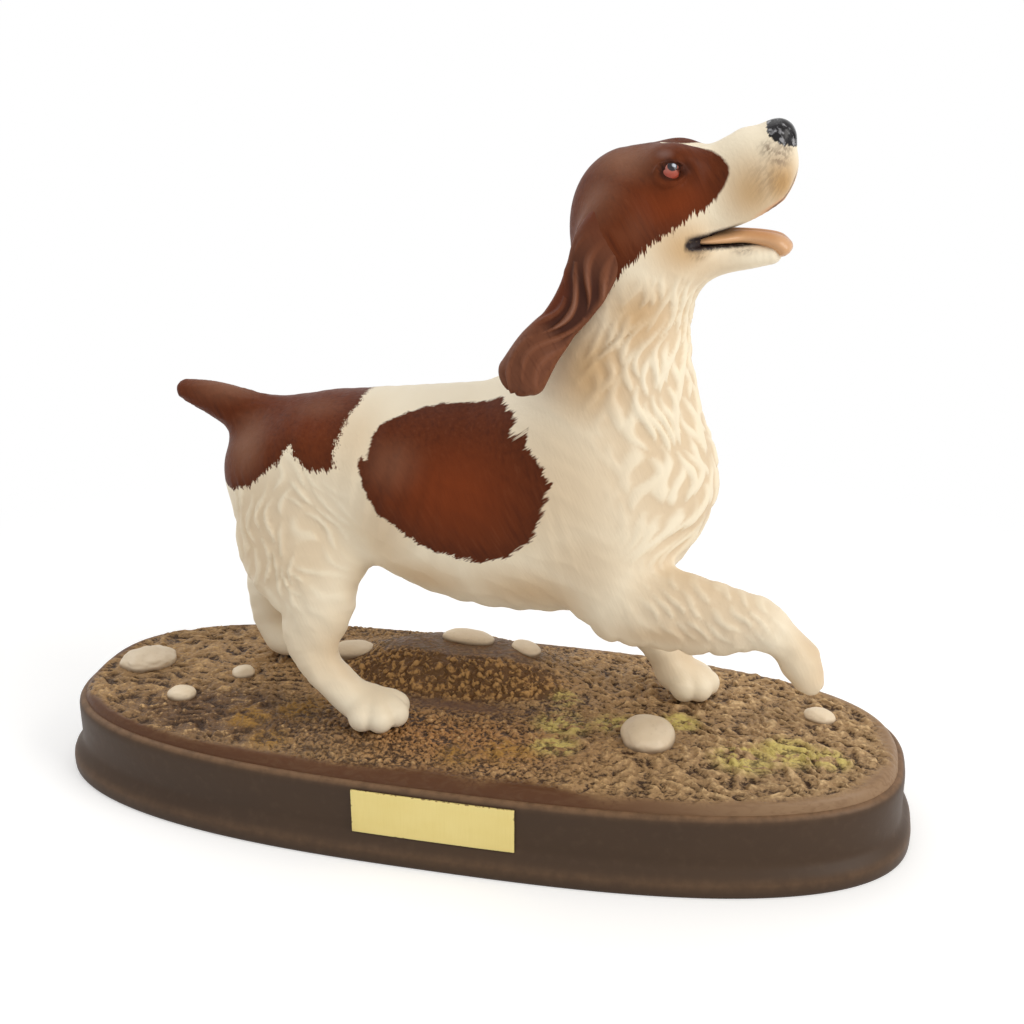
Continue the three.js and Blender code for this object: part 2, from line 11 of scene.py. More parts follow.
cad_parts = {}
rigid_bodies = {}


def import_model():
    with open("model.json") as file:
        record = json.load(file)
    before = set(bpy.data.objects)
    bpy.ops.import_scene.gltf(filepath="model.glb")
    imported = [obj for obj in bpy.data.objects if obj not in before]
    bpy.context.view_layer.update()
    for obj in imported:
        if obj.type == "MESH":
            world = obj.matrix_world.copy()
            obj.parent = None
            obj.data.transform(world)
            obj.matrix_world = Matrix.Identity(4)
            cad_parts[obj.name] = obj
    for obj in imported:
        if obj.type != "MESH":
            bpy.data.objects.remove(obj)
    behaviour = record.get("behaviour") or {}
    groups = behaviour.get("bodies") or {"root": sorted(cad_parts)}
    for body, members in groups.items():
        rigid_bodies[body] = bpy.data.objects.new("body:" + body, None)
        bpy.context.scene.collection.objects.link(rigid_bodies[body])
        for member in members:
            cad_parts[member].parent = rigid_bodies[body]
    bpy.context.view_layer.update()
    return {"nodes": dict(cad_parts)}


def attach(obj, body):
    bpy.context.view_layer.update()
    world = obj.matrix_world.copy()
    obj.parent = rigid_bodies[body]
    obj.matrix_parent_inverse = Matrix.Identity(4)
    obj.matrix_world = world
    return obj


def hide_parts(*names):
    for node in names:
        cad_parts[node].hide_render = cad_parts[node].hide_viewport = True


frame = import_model()
scene = bpy.context.scene
scene.view_settings.view_transform = "Standard"

MM = 0.001
STAND = 28.6  # ground under the paws, above the floor

# Plinth and ground, as in the part
PLINTH_LENGTH = 273
PLINTH_WIDTH = 108
PLINTH_OVAL = 2.66
PLINTH_HEIGHT = 24
PLINTH_WALL = 5
FOOT_PROJECTION = 3.3
LEDGE_WIDTH = 2
GROUND_RISE = 3
GROUND_CROWN = 1.6
SHOULDER = PLINTH_HEIGHT + GROUND_RISE
MOUND_HEIGHT = 8
MOUND_LENGTH = 104
MOUND_WIDTH = 54
MOUND_AT = (-10, 20)
PLATE_LENGTH = 49
PLATE_HEIGHT = 14
PLATE_THICKNESS = 0.6
PLATE_BELOW_LEDGE = 1.5
PLATE_ROUNDING = 0.16
JOINT_GAP = 0.3

# Fineness of the finished plinth, plate and ground
PLINTH_SIDES = 288
PLATE_CUTS = 24
GROUND_GRID = (440, 170)  # cuts along and across
GROUND_SKIRT = (1, 2)  # steps by which the ground's rim goes down

# Pebbles: place, half sizes and the turn of the long axis
PEBBLES = [
    (-114.4, 2, (8.8, 7.6, 4.4), 25),
    (-93, -18, (4.6, 3.8, 2.8), 10),
    (-79, -1, (3.7, 3.3, 2.6), 30),
    (-47, 18, (7, 4.5, 3.4), 15),
    (-9, 25, (9, 4, 3), -4),
    (11, 24, (5.8, 3.5, 2.6), -35),
    (57, -12, (8.2, 9.5, 5), 10),
    (107, 14, (5, 3.7, 2.8), -25),
]


# Finishes


def tint(red, green, blue):
    """A paint colour as it is seen, 0 to 255, for a shader socket."""
    seen = np.array([red, green, blue]) / 255
    light = np.where(seen <= 0.04045, seen / 12.92, ((seen + 0.055) / 1.055) ** 2.4)
    return (*light, 1)


def feed(tree, socket, value):
    """A socket linked to another, or set to a value."""
    if isinstance(value, bpy.types.NodeSocket):
        tree.links.new(value, socket)
    else:
        socket.default_value = value


def add_node(tree, kind, inputs=(), **settings):
    made = tree.nodes.new(kind)
    for setting, value in settings.items():
        setattr(made, setting, value)
    for socket, value in dict(inputs).items():
        feed(tree, made.inputs[socket], value)
    return made


class Finish:
    """A painted or polished surface, built up in shader nodes under one coat."""

    def __init__(self, name, roughness, metallic=0.0, gloss=0.5):
        self.material = bpy.data.materials.new(name)
        self.material.use_nodes = True
        self.tree = self.material.node_tree
        self.coat = self.tree.nodes["Principled BSDF"]
        self.rough(roughness)
        self.give("Metallic", metallic)
        self.gloss(gloss)
        self.place = self.node("ShaderNodeTexCoord").outputs["Object"]

    def give(self, socket, value):
        feed(self.tree, self.coat.inputs[socket], value)

    def colour(self, value):
        self.give("Base Color", value)

    def rough(self, value):
        self.give("Roughness", value)

    def gloss(self, value):
        self.give("Specular IOR Level", value)

    def relief(self, height, depth):
        made = self.node("ShaderNodeBump", {"Height": height, "Distance": depth * MM, "Strength": 1.0})
        self.give("Normal", made.outputs["Normal"])

    def node(self, kind, inputs=(), **settings):
        return add_node(self.tree, kind, inputs, **settings)

    def grain(self, size, turn=0.0, detail=3.0, warp=0.0, axis="Y"):
        """Noise with marks of this size in mm along the three axes, turned about one of them in degrees."""
        turned = tuple(math.radians(turn) if name == axis else 0 for name in "XYZ")
        inputs = {"Vector": self.place, "Rotation": turned, "Scale": tuple(side * MM for side in size)}
        laid = self.node("ShaderNodeMapping", inputs, vector_type="TEXTURE")
        inputs = {"Vector": laid.outputs["Vector"], "Scale": 1.0, "Detail": detail, "Distortion": warp}
        return self.node("ShaderNodeTexNoise", inputs).outputs["Fac"]

    def vector(self, operation, inputs):
        return self.node("ShaderNodeVectorMath", inputs, operation=operation).outputs[0]

    def cells(self, size, drift=0.0):
        """Distance from the middle of each crumb, the crumbs drawn out of true by a drift in mm."""
        place = self.place
        if drift:
            inputs = {"Vector": place, "Scale": 0.6 / (size * MM), "Detail": 2.0}
            stray = self.node("ShaderNodeTexNoise", inputs).outputs["Color"]
            stray = self.vector("SUBTRACT", {0: stray, 1: (0.5, 0.5, 0.5)})
            stray = self.vector("SCALE", {0: stray, "Scale": 2 * drift * MM})
            place = self.vector("ADD", {0: place, 1: stray})
        inputs = {"Vector": place, "Scale": 1 / (size * MM)}
        return self.node("ShaderNodeTexVoronoi", inputs).outputs["Distance"]

    def mask(self, name):
        return self.node("ShaderNodeAttribute", attribute_name=name).outputs["Fac"]

    def calc(self, operation, first, second=0.0, clamp=False):
        made = self.node("ShaderNodeMath", {0: first, 1: second}, operation=operation, use_clamp=clamp)
        return made.outputs[0]

    def plus(self, first, second):
        return self.calc("ADD", first, second)

    def times(self, first, second):
        return self.calc("MULTIPLY", first, second)

    def rest(self, share):
        return self.calc("SUBTRACT", 1.0, share)

    def between(self, value, low, high, start=0.0, end=1.0):
        """Rises smoothly from start to end as value goes from low to high."""
        inputs = {"Value": value, "From Min": low, "From Max": high, "To Min": start, "To Max": end}
        return self.node("ShaderNodeMapRange", inputs, interpolation_type="SMOOTHSTEP").outputs["Result"]

    def over(self, share, under, paint):
        """Paint laid over what is there, by a share from 0 to 1."""
        inputs = {"Factor": share, 6: under, 7: paint}
        return self.node("ShaderNodeMix", inputs, data_type="RGBA").outputs[2]

    def coats(self, under, **paints):
        """Paints laid one after the other, each by the mask of its name."""
        for name, paint in paints.items():
            under = self.over(self.mask(name), under, tint(*paint))
        return under


# Mesh work shared by the pieces


def alone(piece):
    bpy.ops.object.select_all(action="DESELECT")
    piece.select_set(True)
    bpy.context.view_layer.objects.active = piece


@contextmanager
def editing():
    """Edit mode on the active piece."""
    bpy.ops.object.mode_set(mode="EDIT")
    yield
    bpy.ops.object.mode_set(mode="OBJECT")


def added(name):
    """The primitive just added, under its own name."""
    piece = bpy.context.object
    piece.name = name
    piece.data.name = name
    return piece


def points_of(piece):
    flat = np.empty(3 * len(piece.data.vertices))
    piece.data.vertices.foreach_get("co", flat)
    return flat.reshape(-1, 3) / MM


def normals_of(piece):
    flat = np.empty(3 * len(piece.data.vertices))
    piece.data.vertex_normals.foreach_get("vector", flat)
    return flat.reshape(-1, 3)


def set_points(piece, points):
    piece.data.vertices.foreach_set("co", (points * MM).ravel())
    piece.data.update()


def paint_masks(piece, **masks):
    """Shares from which a finish lays its paints, kept at the points of a piece under their names."""
    for name, values in masks.items():
        mask = piece.data.attributes.new(name, "FLOAT", "POINT")
        mask.data.foreach_set("value", np.asarray(values, np.float32))


def finished(piece, finish, slot, *nodes):
    alone(piece)
    bpy.ops.object.shade_smooth()
    piece.data.materials.clear()
    piece.data.materials.append(finish.material)
    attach(piece, "root")
    if nodes:
        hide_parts(*nodes)


def smooth(value):
    value = np.clip(value, 0, 1)
    return value * value * (3 - 2 * value)


def rise(value, low, high):
    return smooth((value - low) / (high - low))


def spot(points, centre, radii):
    """1 at the centre, falling softly to 0 at the radii."""
    off = np.linalg.norm((points - np.array(centre)) / np.array(radii), axis=1)
    return smooth(1 - off)


def strongest(points, marks):
    """The strongest at each point of soft marks, each given by its middle, reach and strength."""
    share = np.zeros(len(points))
    for centre, reach, strength in marks:
        share = np.maximum(share, strength * spot(points, centre, reach))
    return share


def oval(turn, inset):
    """The plinth's plan, drawn in by an inset."""
    blunt = 2 / PLINTH_OVAL
    x = (PLINTH_LENGTH / 2 - inset) * np.sign(np.cos(turn)) * np.abs(np.cos(turn)) ** blunt
    y = (PLINTH_WIDTH / 2 - inset) * np.sign(np.sin(turn)) * np.abs(np.sin(turn)) ** blunt
    return x, y


def ground_height(x, y):
    reach = np.hypot(x / (PLINTH_LENGTH / 2), y / (PLINTH_WIDTH / 2))
    along = (x - MOUND_AT[0]) / (MOUND_LENGTH / 2)
    across = (y - MOUND_AT[1]) / (MOUND_WIDTH / 2)
    mound = MOUND_HEIGHT * rise(1 - np.hypot(along, across), 0, 0.75)
    return SHOULDER + GROUND_CROWN * rise(1 - reach, 0, 0.5) + mound


# Plinth


def plinth_glaze():
    glaze = Finish("plinth_glaze", 0.5, gloss=0.2)
    cloud = glaze.grain((60, 60, 24))
    fine = glaze.grain((3, 3, 3), detail=5)
    umber = glaze.over(cloud, tint(60, 44, 32), tint(78, 60, 45))
    umber = glaze.over(glaze.between(fine, 0.5, 0.8, 0, 0.25), umber, tint(90, 71, 56))
    # Painted highlight: lighter brown along the rounded ledge and the top of the foot, where these edges
    # catch the light
    worn = glaze.times(glaze.mask("worn"), glaze.between(fine, 0.25, 0.65, 0.5, 1))
    umber = glaze.over(worn, umber, tint(136, 104, 76))
    specks = glaze.between(glaze.cells(19), 0.012, 0.022, 0.5, 0)
    glaze.colour(glaze.over(specks, umber, tint(168, 150, 128)))
    glaze.rough(glaze.between(cloud, 0.3, 0.7, 0.42, 0.54))
    glaze.relief(fine, 0.06)
    return glaze


def make_plinth():
    """A ring drawn on the floor, then extruded up the foot and the wall, over the ledge and down inside."""
    wall = FOOT_PROJECTION
    inner = wall + PLINTH_WALL
    profile = [
        (0.12, 0.25), (0.02, 1.2), (0, 3), (0.05 * wall, 4.2), (0.17 * wall, 5.2), (0.35 * wall, 6.1),
        (0.55 * wall, 6.9), (0.74 * wall, 7.6), (0.9 * wall, 8.4), (0.98 * wall, 9.2), (wall, 10.4),
        (wall, 15), (wall, 20.4), (wall + 0.05, 21.6), (wall + 0.25, 22.5), (wall + 0.65, 23.2),
        (wall + 1.2, 23.7), (wall + 1.8, 23.92), (inner, 24), (inner, 12), (inner, 0.3), (inner - 0.3, 0),
    ]
    sides = PLINTH_SIDES
    turn = np.arange(sides) * 2 * np.pi / sides
    bpy.ops.mesh.primitive_circle_add(vertices=sides, radius=0.1)
    piece = added("plinth_body")
    rings = []
    for step, (inset, z) in enumerate([(0.6, 0)] + profile):
        if step:
            with editing():
                bpy.ops.mesh.extrude_region_move()
        x, y = oval(turn, inset)
        rings.append(np.column_stack([x, y, np.full(sides, z)]))
    set_points(piece, np.vstack(rings))
    close_rings(piece, sides)
    points = points_of(piece)
    # Painted highlight along the rounded ledge, and fainter on the top of the foot
    ledge = rise(points[:, 2], 22.2, 23.8) * (1 - rise(points[:, 2], 23.97, 24.1))
    paint_masks(piece, worn=0.75 * ledge + 0.25 * spot(points[:, 2:], (4.2,), (2.5,)))
    finished(piece, plinth_glaze(), "plinth_glaze", "plinth")


def close_rings(piece, sides):
    """Bridges the first ring to the last, and turns every face outwards."""
    count = len(piece.data.vertices)
    alone(piece)
    with editing():
        bpy.ops.mesh.select_all(action="DESELECT")
        bpy.ops.mesh.select_mode(type="EDGE")
    for edge in piece.data.edges:
        first, second = sorted(edge.vertices)
        edge.select = second < sides or first >= count - sides
    with editing():
        bpy.ops.mesh.bridge_edge_loops()
        bpy.ops.mesh.select_all(action="SELECT")
        bpy.ops.mesh.normals_make_consistent(inside=False)


make_plinth()


# Name plate, bare


def plate_brass():
    brass = Finish("plate_brass", 0.36, metallic=0.35)
    cloud = brass.grain((16, 16, 9))
    brushed = brass.grain((0.35, 3, 9), detail=4)
    gold = brass.over(cloud, tint(230, 208, 128), tint(240, 222, 150))
    gold = brass.over(brass.between(brushed, 0.4, 0.8, 0, 0.08), gold, tint(206, 182, 104))
    chips = brass.plus(brass.mask("edge"), brass.grain((1.6, 1.6, 1.6), detail=4))
    brass.colour(brass.over(brass.between(chips, 1.08, 1.2, 0, 0.8), gold, tint(120, 96, 62)))
    brass.rough(brass.between(brushed, 0.3, 0.8, 0.32, 0.46))
    brass.relief(brushed, 0.012)
    return brass


def make_name_plate():
    """A thin slab, cut into a fine grid, rounded at its edges and bent onto the wall."""
    bpy.ops.mesh.primitive_cube_add(size=1)
    piece = added("name_plate_brass")
    alone(piece)
    points = points_of(piece) * (PLATE_LENGTH * MM, PLATE_THICKNESS * MM, PLATE_HEIGHT * MM)
    set_points(piece, points)
    with editing():
        bpy.ops.mesh.select_all(action="SELECT")
        bpy.ops.mesh.bevel(offset=PLATE_ROUNDING * MM, segments=3, affect="EDGES")
        bpy.ops.mesh.select_all(action="SELECT")
        bpy.ops.mesh.subdivide(number_cuts=PLATE_CUTS)
    points = points_of(piece)
    x, depth, z = points.T.copy()
    edge = np.minimum(PLATE_LENGTH / 2 - np.abs(x), PLATE_HEIGHT / 2 - np.abs(z))
    long = np.abs(x / (PLINTH_LENGTH / 2 - FOOT_PROJECTION)) ** PLINTH_OVAL
    wall = -(PLINTH_WIDTH / 2 - FOOT_PROJECTION) * (1 - long) ** (1 / PLINTH_OVAL)
    middle = PLINTH_HEIGHT - PLATE_BELOW_LEDGE - PLATE_HEIGHT / 2
    y = wall - JOINT_GAP - PLATE_THICKNESS / 2 + depth
    set_points(piece, np.column_stack([x, y, z + middle]))
    paint_masks(piece, edge=rise(-edge, -0.9, 0.1) * 0.62)
    finished(piece, plate_brass(), "plate_brass", "name_plate")


make_name_plate()


# Ground


def earth_glaze():
    earth = Finish("earth_glaze", 0.55, gloss=0.22)
    crumb = earth.cells(1.6, drift=1.5)
    clod = earth.cells(2.4, drift=2)
    grit = earth.grain((0.9, 0.9, 0.9), detail=4)
    brush = earth.grain((6, 1.9, 2), 8, detail=4, warp=1.4, axis="Z")
    cloud = earth.grain((20, 20, 20))
    blotch = earth.grain((8, 4.5, 6), 10, detail=4, warp=1.2, axis="Z")
    bank = earth.mask("bank")
    loose = earth.mask("loose")
    pale = earth.mask("pale")
    level = earth.plus(earth.mask("height"), earth.between(grit, 0.3, 0.7, -0.14, 0.14))
    level = earth.plus(level, earth.times(loose, earth.between(crumb, 0.6, 0.1, -0.26, 0.24)))
    level = earth.plus(level, earth.times(bank, earth.between(clod, 0.65, 0.12, -0.3, 0.36)))
    firm = earth.rest(loose)
    level = earth.plus(level, earth.times(firm, earth.between(brush, 0.36, 0.64, -0.2, 0.2)))
    middle = earth.over(pale, tint(168, 134, 93), tint(172, 140, 101))
    middle = earth.coats(middle, warm=(186, 134, 82), shaded=(110, 82, 56))
    # Darker in the hollows and lighter on the crests, by the height of the earth: painted shade and painted
    # highlight
    soil = earth.over(earth.between(level, 0.02, 0.46), tint(66, 46, 30), middle)
    light = earth.over(pale, tint(210, 172, 122), tint(218, 185, 139))
    soil = earth.over(earth.between(level, 0.48, 0.95), soil, light)
    soil = earth.over(earth.between(cloud, 0.5, 0.68, 0, 0.3), soil, tint(118, 92, 64))
    streaks = earth.times(earth.mask("crest"), earth.between(brush, 0.42, 0.6))
    soil = earth.over(streaks, soil, tint(126, 110, 84))
    # The steep bank, painted lighter to stand in for the light it lacks, dark in the gaps between its crumbs
    # and light on them: painted light and shade
    dark_bank = earth.over(earth.between(level, 0.0, 0.65), tint(116, 83, 48), tint(196, 150, 92))
    soil = earth.over(earth.times(bank, 0.85), soil, dark_bank)
    patchy = earth.between(blotch, 0.39, 0.51)
    lit = earth.between(level, 0.1, 0.5, 0.25, 0.9)
    for name, paint in (("ochre", tint(166, 124, 54)), ("moss", tint(214, 196, 116))):
        share = earth.times(earth.times(earth.mask(name), patchy), lit)
        soil = earth.over(share, soil, paint)
    smooth_soil = earth.over(pale, tint(88, 54, 30), tint(146, 117, 88))
    smooth_soil = earth.over(earth.between(brush, 0.4, 0.7, 0, 0.35), smooth_soil, tint(108, 78, 54))
    soil = earth.over(earth.mask("worn"), soil, smooth_soil)
    earth.colour(soil)
    earth.rough(earth.between(level, 0.2, 0.9, 0.42, 0.62))
    bare = earth.rest(earth.mask("worn"))
    earth.relief(earth.times(level, bare), 0.65)
    return earth


def crumbs(x, y):
    """Heights of the earth's mud, crumbs and ripples at a place, and how far their borders stray there."""
    drift = noise.noise_vector(Vector((x, y, 0)) / 8) * 4
    east, north = x + drift.x, y + drift.y
    mud = 0.35 - abs(2 * noise.noise(Vector((east / 6.5, north / 3.4, 3))))
    mud += 0.5 * noise.noise(Vector((east / 2.8, north / 1.9, 5)))
    near, next_near = noise.voronoi(Vector((east / 2.3, north / 2, 0)))[0][:2]
    crumb = min(1, 2.2 * (next_near - near)) - 0.5
    along, aside = (east - 0.5 * north) / 4.4, (north + 0.5 * east) / 2.3
    ripple = noise.noise(Vector((along, aside, 7))) + 0.5 * noise.noise(Vector((2 * along, 2 * aside, 9)))
    grit = 0.25 * noise.noise(Vector((x / 1.3, y / 1.3, 11)))
    stray = 26 * noise.noise(Vector((x / 20, y / 12, 13)))
    return mud + grit, crumb + grit, ripple + grit, stray


CRUMB_SEED = 4  # holds the drift of the crumbs, which is otherwise drawn anew each run

# Where moss and ochre are painted, with their reach
MOSS = [
    (30, -10, 12), (30, -23, 10), (28, 5, 7), (46, -6, 9), (65, -1, 9), (99, -10, 13), (86, -17, 13),
    (111, -11, 9),
]
OCHRE = [(-66, -27, 11), (-52, -19, 12), (-42, -12, 9), (-55, -37, 9), (18, -30, 12), (4, -34, 10)]


def painted(flat, places):
    marks = [((x, y), (reach, 0.85 * reach), 1) for x, y, reach in places]
    return np.clip(1.7 * strongest(flat, marks), 0, 1)


def make_ground():
    """A fine grid pressed into the plinth's plan, heaped over the mound and crumbled, with a deep skirt."""
    along, across = GROUND_GRID
    bpy.ops.mesh.primitive_grid_add(x_subdivisions=along, y_subdivisions=across, size=2)
    piece = added("ground_earth")
    flat = points_of(piece) * MM
    s, t = flat[:, 0], flat[:, 1]
    disc_x = s * np.sqrt(1 - t * t / 2)
    disc_y = t * np.sqrt(1 - s * s / 2)
    share = np.hypot(disc_x, disc_y)
    turn = np.arctan2(disc_y, disc_x)
    blunt = np.arctan2(
        np.sign(np.sin(turn)) * np.abs(np.sin(turn)) ** (PLINTH_OVAL / 2),
        np.sign(np.cos(turn)) * np.abs(np.cos(turn)) ** (PLINTH_OVAL / 2),
    )
    inset = FOOT_PROJECTION + LEDGE_WIDTH
    edge_x, edge_y = oval(blunt, inset)
    x, y = edge_x * share, edge_y * share
    room = (1 - share) * np.hypot(edge_x, edge_y)
    noise.seed_set(CRUMB_SEED)
    mud, crumb, ripple, stray = np.array([crumbs(px, py) for px, py in zip(x, y)]).T
    base = ground_height(x, y)
    front = base - ground_height(x, y - 3)
    bank = rise(front, 0.3, 1.0)
    flat = np.column_stack([x, y])
    trough = spot(flat, (-4, -6), (34, 7)) * (1 - bank)
    crown = rise(base - SHOULDER, 6.5, 8.5) * (1 - bank)
    margin = 1 - rise(room + 0.1 * stray, 1.6, 5 + 2.5 * rise(x - y, -60, 60))
    worn = np.maximum.reduce([margin, 0.85 * trough, 0.6 * crown])
    tail_end = 1 - rise(x + stray, -84, -28)
    head_end = rise(x + stray, 2, 56)
    loose = np.maximum(0.3 + 0.7 * (1 - tail_end - head_end), bank)
    rough = 1.2 * tail_end * mud + loose * crumb + 1.5 * head_end * (1 - bank) * ripple
    height = rough * (1 - worn) * (1 + 0.6 * bank)
    for px, py, half, _ in PEBBLES:
        clear = np.hypot(x - px, y - py) / (0.9 * max(half))
        height = height * (0.25 + 0.75 * rise(clear, 0.8, 1.5))
    drop = 3.6 * (1 - np.clip(room / 3.4, 0, 1)) ** 2.2
    z = base + np.clip(height, -1.1, 1.3) - drop
    set_points(piece, np.column_stack([x, y, z]))
    paint_masks(
        piece,
        # height also lays painted shade in the hollows and painted highlight on the crests
        height=np.clip(0.48 + 0.42 * height, 0, 1.2),
        bank=bank,
        worn=worn,
        warm=0.85 * spot(flat, (-2, -26), (56, 26)),
        shaded=np.clip(1.6 * spot(flat, (-76, -26), (52, 24)), 0, 1),
        crest=crown,
        loose=np.clip(loose, 0, 1),
        pale=rise(x + 0.5 * y, 10, 90),
        moss=painted(flat, MOSS),
        ochre=0.8 * painted(flat, OCHRE),
    )
    alone(piece)
    with editing():
        bpy.ops.mesh.select_all(action="DESELECT")
        bpy.ops.mesh.select_mode(type="EDGE")
        bpy.ops.mesh.select_non_manifold()
        for depth in GROUND_SKIRT:
            bpy.ops.mesh.extrude_region_move(TRANSFORM_OT_translate={"value": (0, 0, -depth * MM)})
        bpy.ops.mesh.edge_face_add()
        bpy.ops.mesh.select_all(action="SELECT")
        bpy.ops.mesh.normals_make_consistent(inside=False)
    finished(piece, earth_glaze(), "earth_glaze", "ground")


make_ground()


# Pebbles


def pebble_glaze():
    stone = Finish("pebble_glaze", 0.5)
    cloud = stone.grain((9, 9, 6), detail=4)
    grit = stone.grain((1, 1, 1), detail=5)
    pale = stone.over(cloud, tint(242, 225, 198), tint(222, 200, 168))
    pale = stone.over(stone.between(grit, 0.58, 0.78, 0, 0.25), pale, tint(184, 160, 128))
    stone.colour(stone.over(stone.mask("low"), pale, tint(112, 84, 58)))
    stone.rough(stone.between(grit, 0.3, 0.7, 0.42, 0.58))
    stone.relief(grit, 0.08)
    return stone


def make_pebbles():
    """One rounded stone for each place, its flats and lumps its own, sunk in the ground by its underside."""
    glaze = pebble_glaze()
    for number, (x, y, half, turned) in enumerate(PEBBLES, 1):
        bpy.ops.mesh.primitive_ico_sphere_add(subdivisions=5, radius=1)
        piece = added(f"pebble_{number}_stone")
        ball = points_of(piece) * MM
        ball /= np.linalg.norm(ball, axis=1)[:, None]
        seat = Vector((number * 7.3, 1.7, 4.1))
        worn = np.array([noise.fractal(Vector(p) * 1.1 + seat, 0.9, 2.0, 3) for p in ball])
        flats = np.sign(ball) * np.abs(ball) ** 0.92
        rugged = 0.14 if number == 1 else 0.06
        stone = flats * (1 + rugged * worn)[:, None] * np.array(half)
        stone[:, 2] = np.where(stone[:, 2] > 0, stone[:, 2] * 0.92, stone[:, 2])
        angle = math.radians(turned)
        cos, sin = math.cos(angle), math.sin(angle)
        laid = np.column_stack([stone[:, 0] * cos - stone[:, 1] * sin, stone[:, 0] * sin + stone[:, 1] * cos])
        base = float(ground_height(np.array([x]), np.array([y]))[0])
        z = base + 0.15 * half[2] + stone[:, 2]
        set_points(piece, np.column_stack([laid[:, 0] + x, laid[:, 1] + y, z]))
        # The first pebble is painted darker all over, and every pebble darker towards its underside
        aged = 0.14 if number == 1 else 0
        paint_masks(piece, low=np.maximum(aged, 0.75 * (1 - rise(stone[:, 2] / half[2], -0.15, 0.3))))
        finished(piece, glaze, "pebble_glaze", f"pebble_{number}")


make_pebbles()


# The dog's forms: each gives the distance of points from its surface, negative inside


def spine(stations, steps=4):
    """Stations joined by a smooth curve, as rows of x, y, z and half the height and width there."""
    rows = np.array(stations, float)
    ends = np.vstack([2 * rows[0] - rows[1], rows, 2 * rows[-1] - rows[-2]])
    share = np.arange(steps)[:, None] / steps
    beads = []
    for before, start, end, after in zip(ends, ends[1:], ends[2:], ends[3:]):
        slope = end - before
        bow = 2 * before - 5 * start + 4 * end - after
        twist = 3 * start - before - 3 * end + after
        beads.append(start + (slope * share + bow * share**2 + twist * share**3) / 2)
    return np.vstack(beads + [rows[-1:]])


def limb(*stations):
    beads = spine(stations)
    far = 30.0
    reach = beads[:, 3:].max() + 20
    low = beads[:, :3].min(axis=0) - reach
    high = beads[:, :3].max(axis=0) + reach

    def distance(points):
        result = np.full(len(points), far)
        near = np.all((points > low) & (points < high), axis=1)
        close = points[near]
        best = np.full(len(close), far)
        for start, end in zip(beads, beads[1:]):
            flat = np.array([1, (start[3] + end[3]) / (start[4] + end[4]), 1])
            way = (end - start)[:3] * flat
            off = (close - start[:3]) * flat
            along = np.clip(off @ way / (way @ way), 0, 1)
            tall, wide = start[3:, None] + (end - start)[3:, None] * along
            gap = np.linalg.norm(off - along[:, None] * way, axis=1) - tall
            best = np.minimum(best, gap * np.minimum(1, wide / tall))
        result[near] = best
        return result

    return distance


def lump(centre, radii, pitch=0):
    """An ellipsoid, pitched nose up by an angle in degrees."""
    cos, sin = math.cos(math.radians(pitch)), math.sin(math.radians(pitch))

    def distance(points):
        x, y, z = (points - np.array(centre)).T
        axes = np.column_stack([x * cos + z * sin, y, z * cos - x * sin])
        near = np.linalg.norm(axes / np.array(radii), axis=1)
        steep = np.linalg.norm(axes / np.square(radii), axis=1)
        return near * (near - 1) / np.maximum(steep, 1e-6)

    return distance


def soft_min(first, second, fillet):
    share = np.maximum(fillet - np.abs(first - second), 0)
    return np.minimum(first, second) - share**2 / (4 * fillet)


def blend(fillet, *forms):
    def distance(points):
        total = forms[0](points)
        for form in forms[1:]:
            total = soft_min(total, form(points), fillet)
        return total

    return distance


def carved(form, fillet, *tools):
    def distance(points):
        total = form(points)
        for tool in tools:
            total = -soft_min(-total, tool(points), fillet)
        return total

    return distance


def pair(form):
    return lambda points: np.minimum(form(points), form(points * (1, -1, 1)))


def toes(x, y, heading, reach):
    """Four toes fanned about the middle of a paw, the outer ones shorter."""
    each = []
    for place in (-1.5, -0.5, 0.5, 1.5):
        turn = math.radians(heading + 40 * place)
        cos, sin = math.cos(turn), math.sin(turn)
        tip = reach - 1.1 * (abs(place) > 1)
        joint = 0.7 * tip
        each.append(
            limb((x + 2.5 * cos, y + 2.5 * sin, 7.4, 3, 3), (x + joint * cos, y + joint * sin, 6.6, 3.8, 3.8),
                 (x + tip * cos, y + tip * sin, 4.8, 4.2, 4.2))
        )
    return blend(0.9, *each)


TORSO = blend(
    14,
    limb((-61, 0, 73.6, 17.4, 19.6), (-48, 0, 76.2, 21, 24), (-30, 0, 76.9, 22.9, 26),
         (-8, 0, 70.9, 31.5, 28.5), (14, 0, 70.2, 34.6, 30), (34, 0, 72.6, 33.4, 29.5),
         (50, 0, 77.5, 22.6, 24)),
    limb((36, 0, 86, 27, 27), (40, 0, 103, 25, 25), (42, 0, 118, 21, 22), (45.4, 0, 132, 17, 18.5),
         (47, 0, 143, 15, 16.5)),
)
MOUTH = limb((63.6, 0, 149, 1.2, 24), (70, 0, 149.7, 1.8, 24), (76, 0, 150.9, 2.7, 24), (82, 0, 152.6, 4, 24),
             (91, 0, 154.4, 7.4, 24))
NOSE = lump((83.4, 0, 175.7), (4.8, 5.2, 4.8), 30)
SKULL = blend(
    6,
    limb((46, 0, 156.6, 16, 15.2), (54, 0, 159, 15, 13.6)),
    limb((60, 0, 160.2, 11, 10.8), (69, 0, 163.7, 10.9, 9.6), (76, 0, 167.2, 10.7, 8.9),
         (79.4, 0, 169, 9.8, 8.2)),
    pair(lump((56.5, 8.4, 167.6), (6.4, 4.4, 5.4), 20)),
    pair(lump((76, 4.6, 160.4), (10.6, 4.4, 6.6), 27)),
    pair(lump((53, 5, 147.5), (11.5, 8.5, 9), 10)),
    limb((56, 0, 145, 5.6, 8.6), (66, 0, 144, 4.8, 7.8), (76, 0, 144.6, 4, 6.8), (83.6, 0, 145.4, 3, 5)),
)
EAR_ROOTS = pair(limb((46, 11, 160, 4, 4), (43, 14.6, 156, 5, 4), (40.5, 16.6, 151, 5.4, 3.2)))
EYE = np.array([56.8, 11.1, 167.4])
EYE_RADIUS = 3.1
